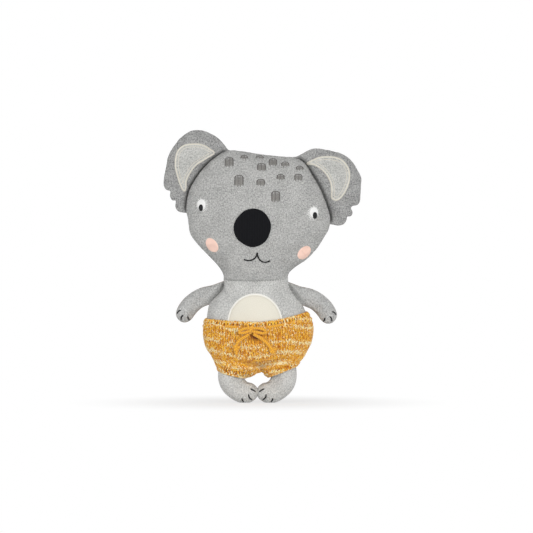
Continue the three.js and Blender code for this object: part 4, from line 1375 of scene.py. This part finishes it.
def cream_and_painted_shade(points):
    """How much cream shows in the yarn: in bands of rows, and in patches along them. Below 0 it is painted
    shade: a dark patch under the bow, between the tails.
    """
    made = []
    for x, y, z in points:
        row = (z - 0.1 * abs(x) - 3 * MM * math.sin(x / (14 * MM))) / MM
        bands = sum(math.exp(-((row - at) / 2.6) ** 2) for at in CREAM_ROWS_MM)
        cloud = noise.noise(Vector((x / (16 * MM), y / (16 * MM), row / 2.4)))
        # A painted shadow under the bow, between the tails, which darkens the yarn there.
        shade = math.exp(-((x + 4 * MM) / (6 * MM)) ** 2 - ((z - 78.5 * MM) / (5 * MM)) ** 2) * (y < 0)
        made.append(0.21 + 0.13 * bands + 0.08 * cloud - 1.2 * shade)
    return array(made).astype(np.float32)


halves = {side: TrouserLeg(side) for side in SIDES}
for side, half in halves.items():
    blend = blends[f"leg_{side}"]
    rows = [half.knit_row(row) for row in BODY_ROWS + WAIST_ROWS + CUFF_ROWS]
    yarn = add_piece(f"shorts_yarn_{side}", rows, YARN, blend, f"cuff_{side}")
    cream_and_shade = yarn.data.attributes.new("cream_and_shade", "FLOAT", "POINT")
    cream_and_shade.data.foreach_set("value", cream_and_painted_shade(np.concatenate([points for points, _, _ in rows])))
    nodes = ["shorts_seat", "waistband"] if side == "right" else []
    ground = add_piece(f"shorts_ground_{side}", [half.ground()], GROUND_PAINTED_SHADE, blend, *nodes)
    flat, area = half.cut_size()

# The drawstring round the waist, in front of the loops where the photograph shows it
RUN_LEVEL = 0.1
RUN_SHOWN_MM = [(-38, -27), (10, 27.5)]
RUN_RADIUS = 1.6 * MM
# How far off the shorts' net it lies where it is hidden, and how much further out where it shows
RUN_HIDDEN = -2.6 * MM
RUN_RISE = 3.8 * MM
BACK_SHOWN = 15 * MM
KNOT_MM = (-9.8, -38.8, 86.5)
BOW_RADIUS = 1.85 * MM
BOW_BULGE_MM = 0.7
BOW_LOOPS_MM = {
    "right": [(-0.5, 1.6), (-6, 1.6), (-11, -0.4), (-13.4, -2.7), (-9.5, -3.7), (-4, -2.2), (-0.5, -1)],
    "left": [
        (0.5, 1.6), (6.7, 2), (12.6, 1.4), (16.6, -0.6), (17.4, -3), (13.6, -3.9), (7, -2.4), (0.5, -1),
    ],
}
BOW_FEET_MM = {"right": (-13.6, -36.6, 93.5), "left": (-6.6, -36.6, 93.5)}


def run_line(half):
    """The drawstring's points over one half of the waist, from the front seam to the back."""
    column = np.linspace(COLUMNS, -COLUMNS, 110)
    points, ways = half.at(column, np.full(len(column), RUN_LEVEL))
    shown = np.zeros(len(column))
    for low, high in RUN_SHOWN_MM:
        rise = smoothstep(points[:, 0], (low - 2) * MM, low * MM)
        fall = smoothstep(points[:, 0], (high + 2) * MM, high * MM)
        shown += rise * fall * (points[:, 1] < 0)
    behind = smoothstep(np.sin(points[:, 0] / BACK_SHOWN * math.pi), -0.2, 0.2)
    shown = np.where(points[:, 1] > 0, behind, shown)
    return (points + ways * (RUN_HIDDEN + RUN_RISE * shown)[:, None])[1:-1]


def bow_parts():
    """The bow's two loops, the cord's two feet that lead to it, and the band round its middle."""
    x, y, z = KNOT_MM
    loops, feet = [], []
    for side, way in SIDES.items():
        loop = BOW_LOOPS_MM[side]
        bulges = [BOW_BULGE_MM * math.sin(math.pi * k / (len(loop) - 1)) for k in range(len(loop))]
        line = [(x + a, y - bulge + way * 0.3, z + b) for (a, b), bulge in zip(loop, bulges)]
        loops.append(twisted_cord(array(line) * MM, 70, BOW_RADIUS))
        a, b, c = BOW_FEET_MM[side]
        foot = [
            (a, b + 1.5, c + 0.5), (a, b - 1, c - 0.5), (a - way * 1.2, b - 1.9, c - 3),
            (x + way * 1.2, y, z + 1.5),
        ]
        feet.append(twisted_cord(array(foot) * MM, 30, RUN_RADIUS))
    angle = np.linspace(0, 2 * math.pi, 12, endpoint=False)
    band = [(x + 0.4 * math.sin(a), y - 2.2 * math.cos(a), z - 0.4 + 3 * math.sin(a)) for a in angle]
    return [*loops, *feet, tube(loop_of(array(band) * MM, 40), 1.7 * MM, 12, closed=True, up=(1, 0, 0))]


ring = np.concatenate([run_line(halves["right"]), run_line(halves["left"])[::-1]])
run = twisted_cord(ring, 500, RUN_RADIUS, 10, closed=True)
add_piece("drawstring_round", [run], CORD_YARN, "torso", "drawstring_run")
add_piece("bow", bow_parts(), CORD_YARN, "torso", "drawstring_bow")


# Light, floor and background
def add_lamp(name, place, power):
    data = bpy.data.lights.new(name, "AREA")
    data.shape = "DISK"
    data.size = LAMP_SIZE
    data.energy = power
    lamp = new_object(name, data)
    lamp.location = place
    lamp.rotation_euler = (Vector(LIT_POINT) - Vector(place)).to_track_quat("-Z", "Y").to_euler()


def background_rays(tree):
    """1 for the rays that see the background: the camera's, and those in metal and glass."""
    path = add_node(tree, "ShaderNodeLightPath")
    seen = Number(path.outputs["Is Camera Ray"])
    for kind in ("Is Glossy Ray", "Is Transmission Ray"):
        seen = seen.math("MAXIMUM", path.outputs[kind])
    return seen


def mix_shaders(tree, share, first, second, output):
    inputs = {0: share, 1: first.outputs[0], 2: second.outputs[0]}
    mixed = add_node(tree, "ShaderNodeMixShader", inputs)
    tree.links.new(mixed.outputs[0], tree.nodes[output].inputs[0])


def add_world():
    world = bpy.data.worlds.new("studio")
    bpy.context.scene.world = world
    world.use_nodes = True
    tree = world.node_tree
    soft = tree.nodes["Background"]
    soft.inputs["Strength"].default_value = SKY_STRENGTH
    white = add_node(tree, "ShaderNodeBackground")
    for light in (soft, white):
        light.inputs[0].default_value = grey(1)
    mix_shaders(tree, background_rays(tree), soft, white, "World Output")


def add_floor():
    """A pale floor that keeps the toy's shadow and fades to the white background."""
    size = FLOOR_HALF_SIZE
    corners = [(-size, -size, 0), (size, -size, 0), (size, size, 0), (-size, size, 0)]
    floor = mesh_object("floor", corners, [(0, 1, 2, 3)])
    material = bpy.data.materials.new("floor")
    material.use_nodes = True
    tree = material.node_tree
    shader = tree.nodes["Principled BSDF"]
    shader.inputs["Base Color"].default_value = grey(0.9)
    shader.inputs["Roughness"].default_value = 0.9
    place = add_node(tree, "ShaderNodeTexCoord").outputs["Object"]
    far = add_node(tree, "ShaderNodeVectorMath", {0: place}, operation="LENGTH").outputs["Value"]
    inputs = {"Value": far, "From Min": FLOOR_FADE[0], "From Max": FLOOR_FADE[1]}
    inputs["To Min"] = FLOOR_LEAST_WHITE
    fade = add_node(tree, "ShaderNodeMapRange", inputs, interpolation_type="SMOOTHSTEP")
    share = background_rays(tree) * fade.outputs[0]
    mix_shaders(tree, share, shader, add_node(tree, "ShaderNodeEmission"), "Material Output")
    floor.data.materials.append(material)


add_world()
add_floor()
for name, (place, power) in LAMPS.items():
    add_lamp(name, place, power)
bpy.context.scene.view_settings.view_transform = "Standard"
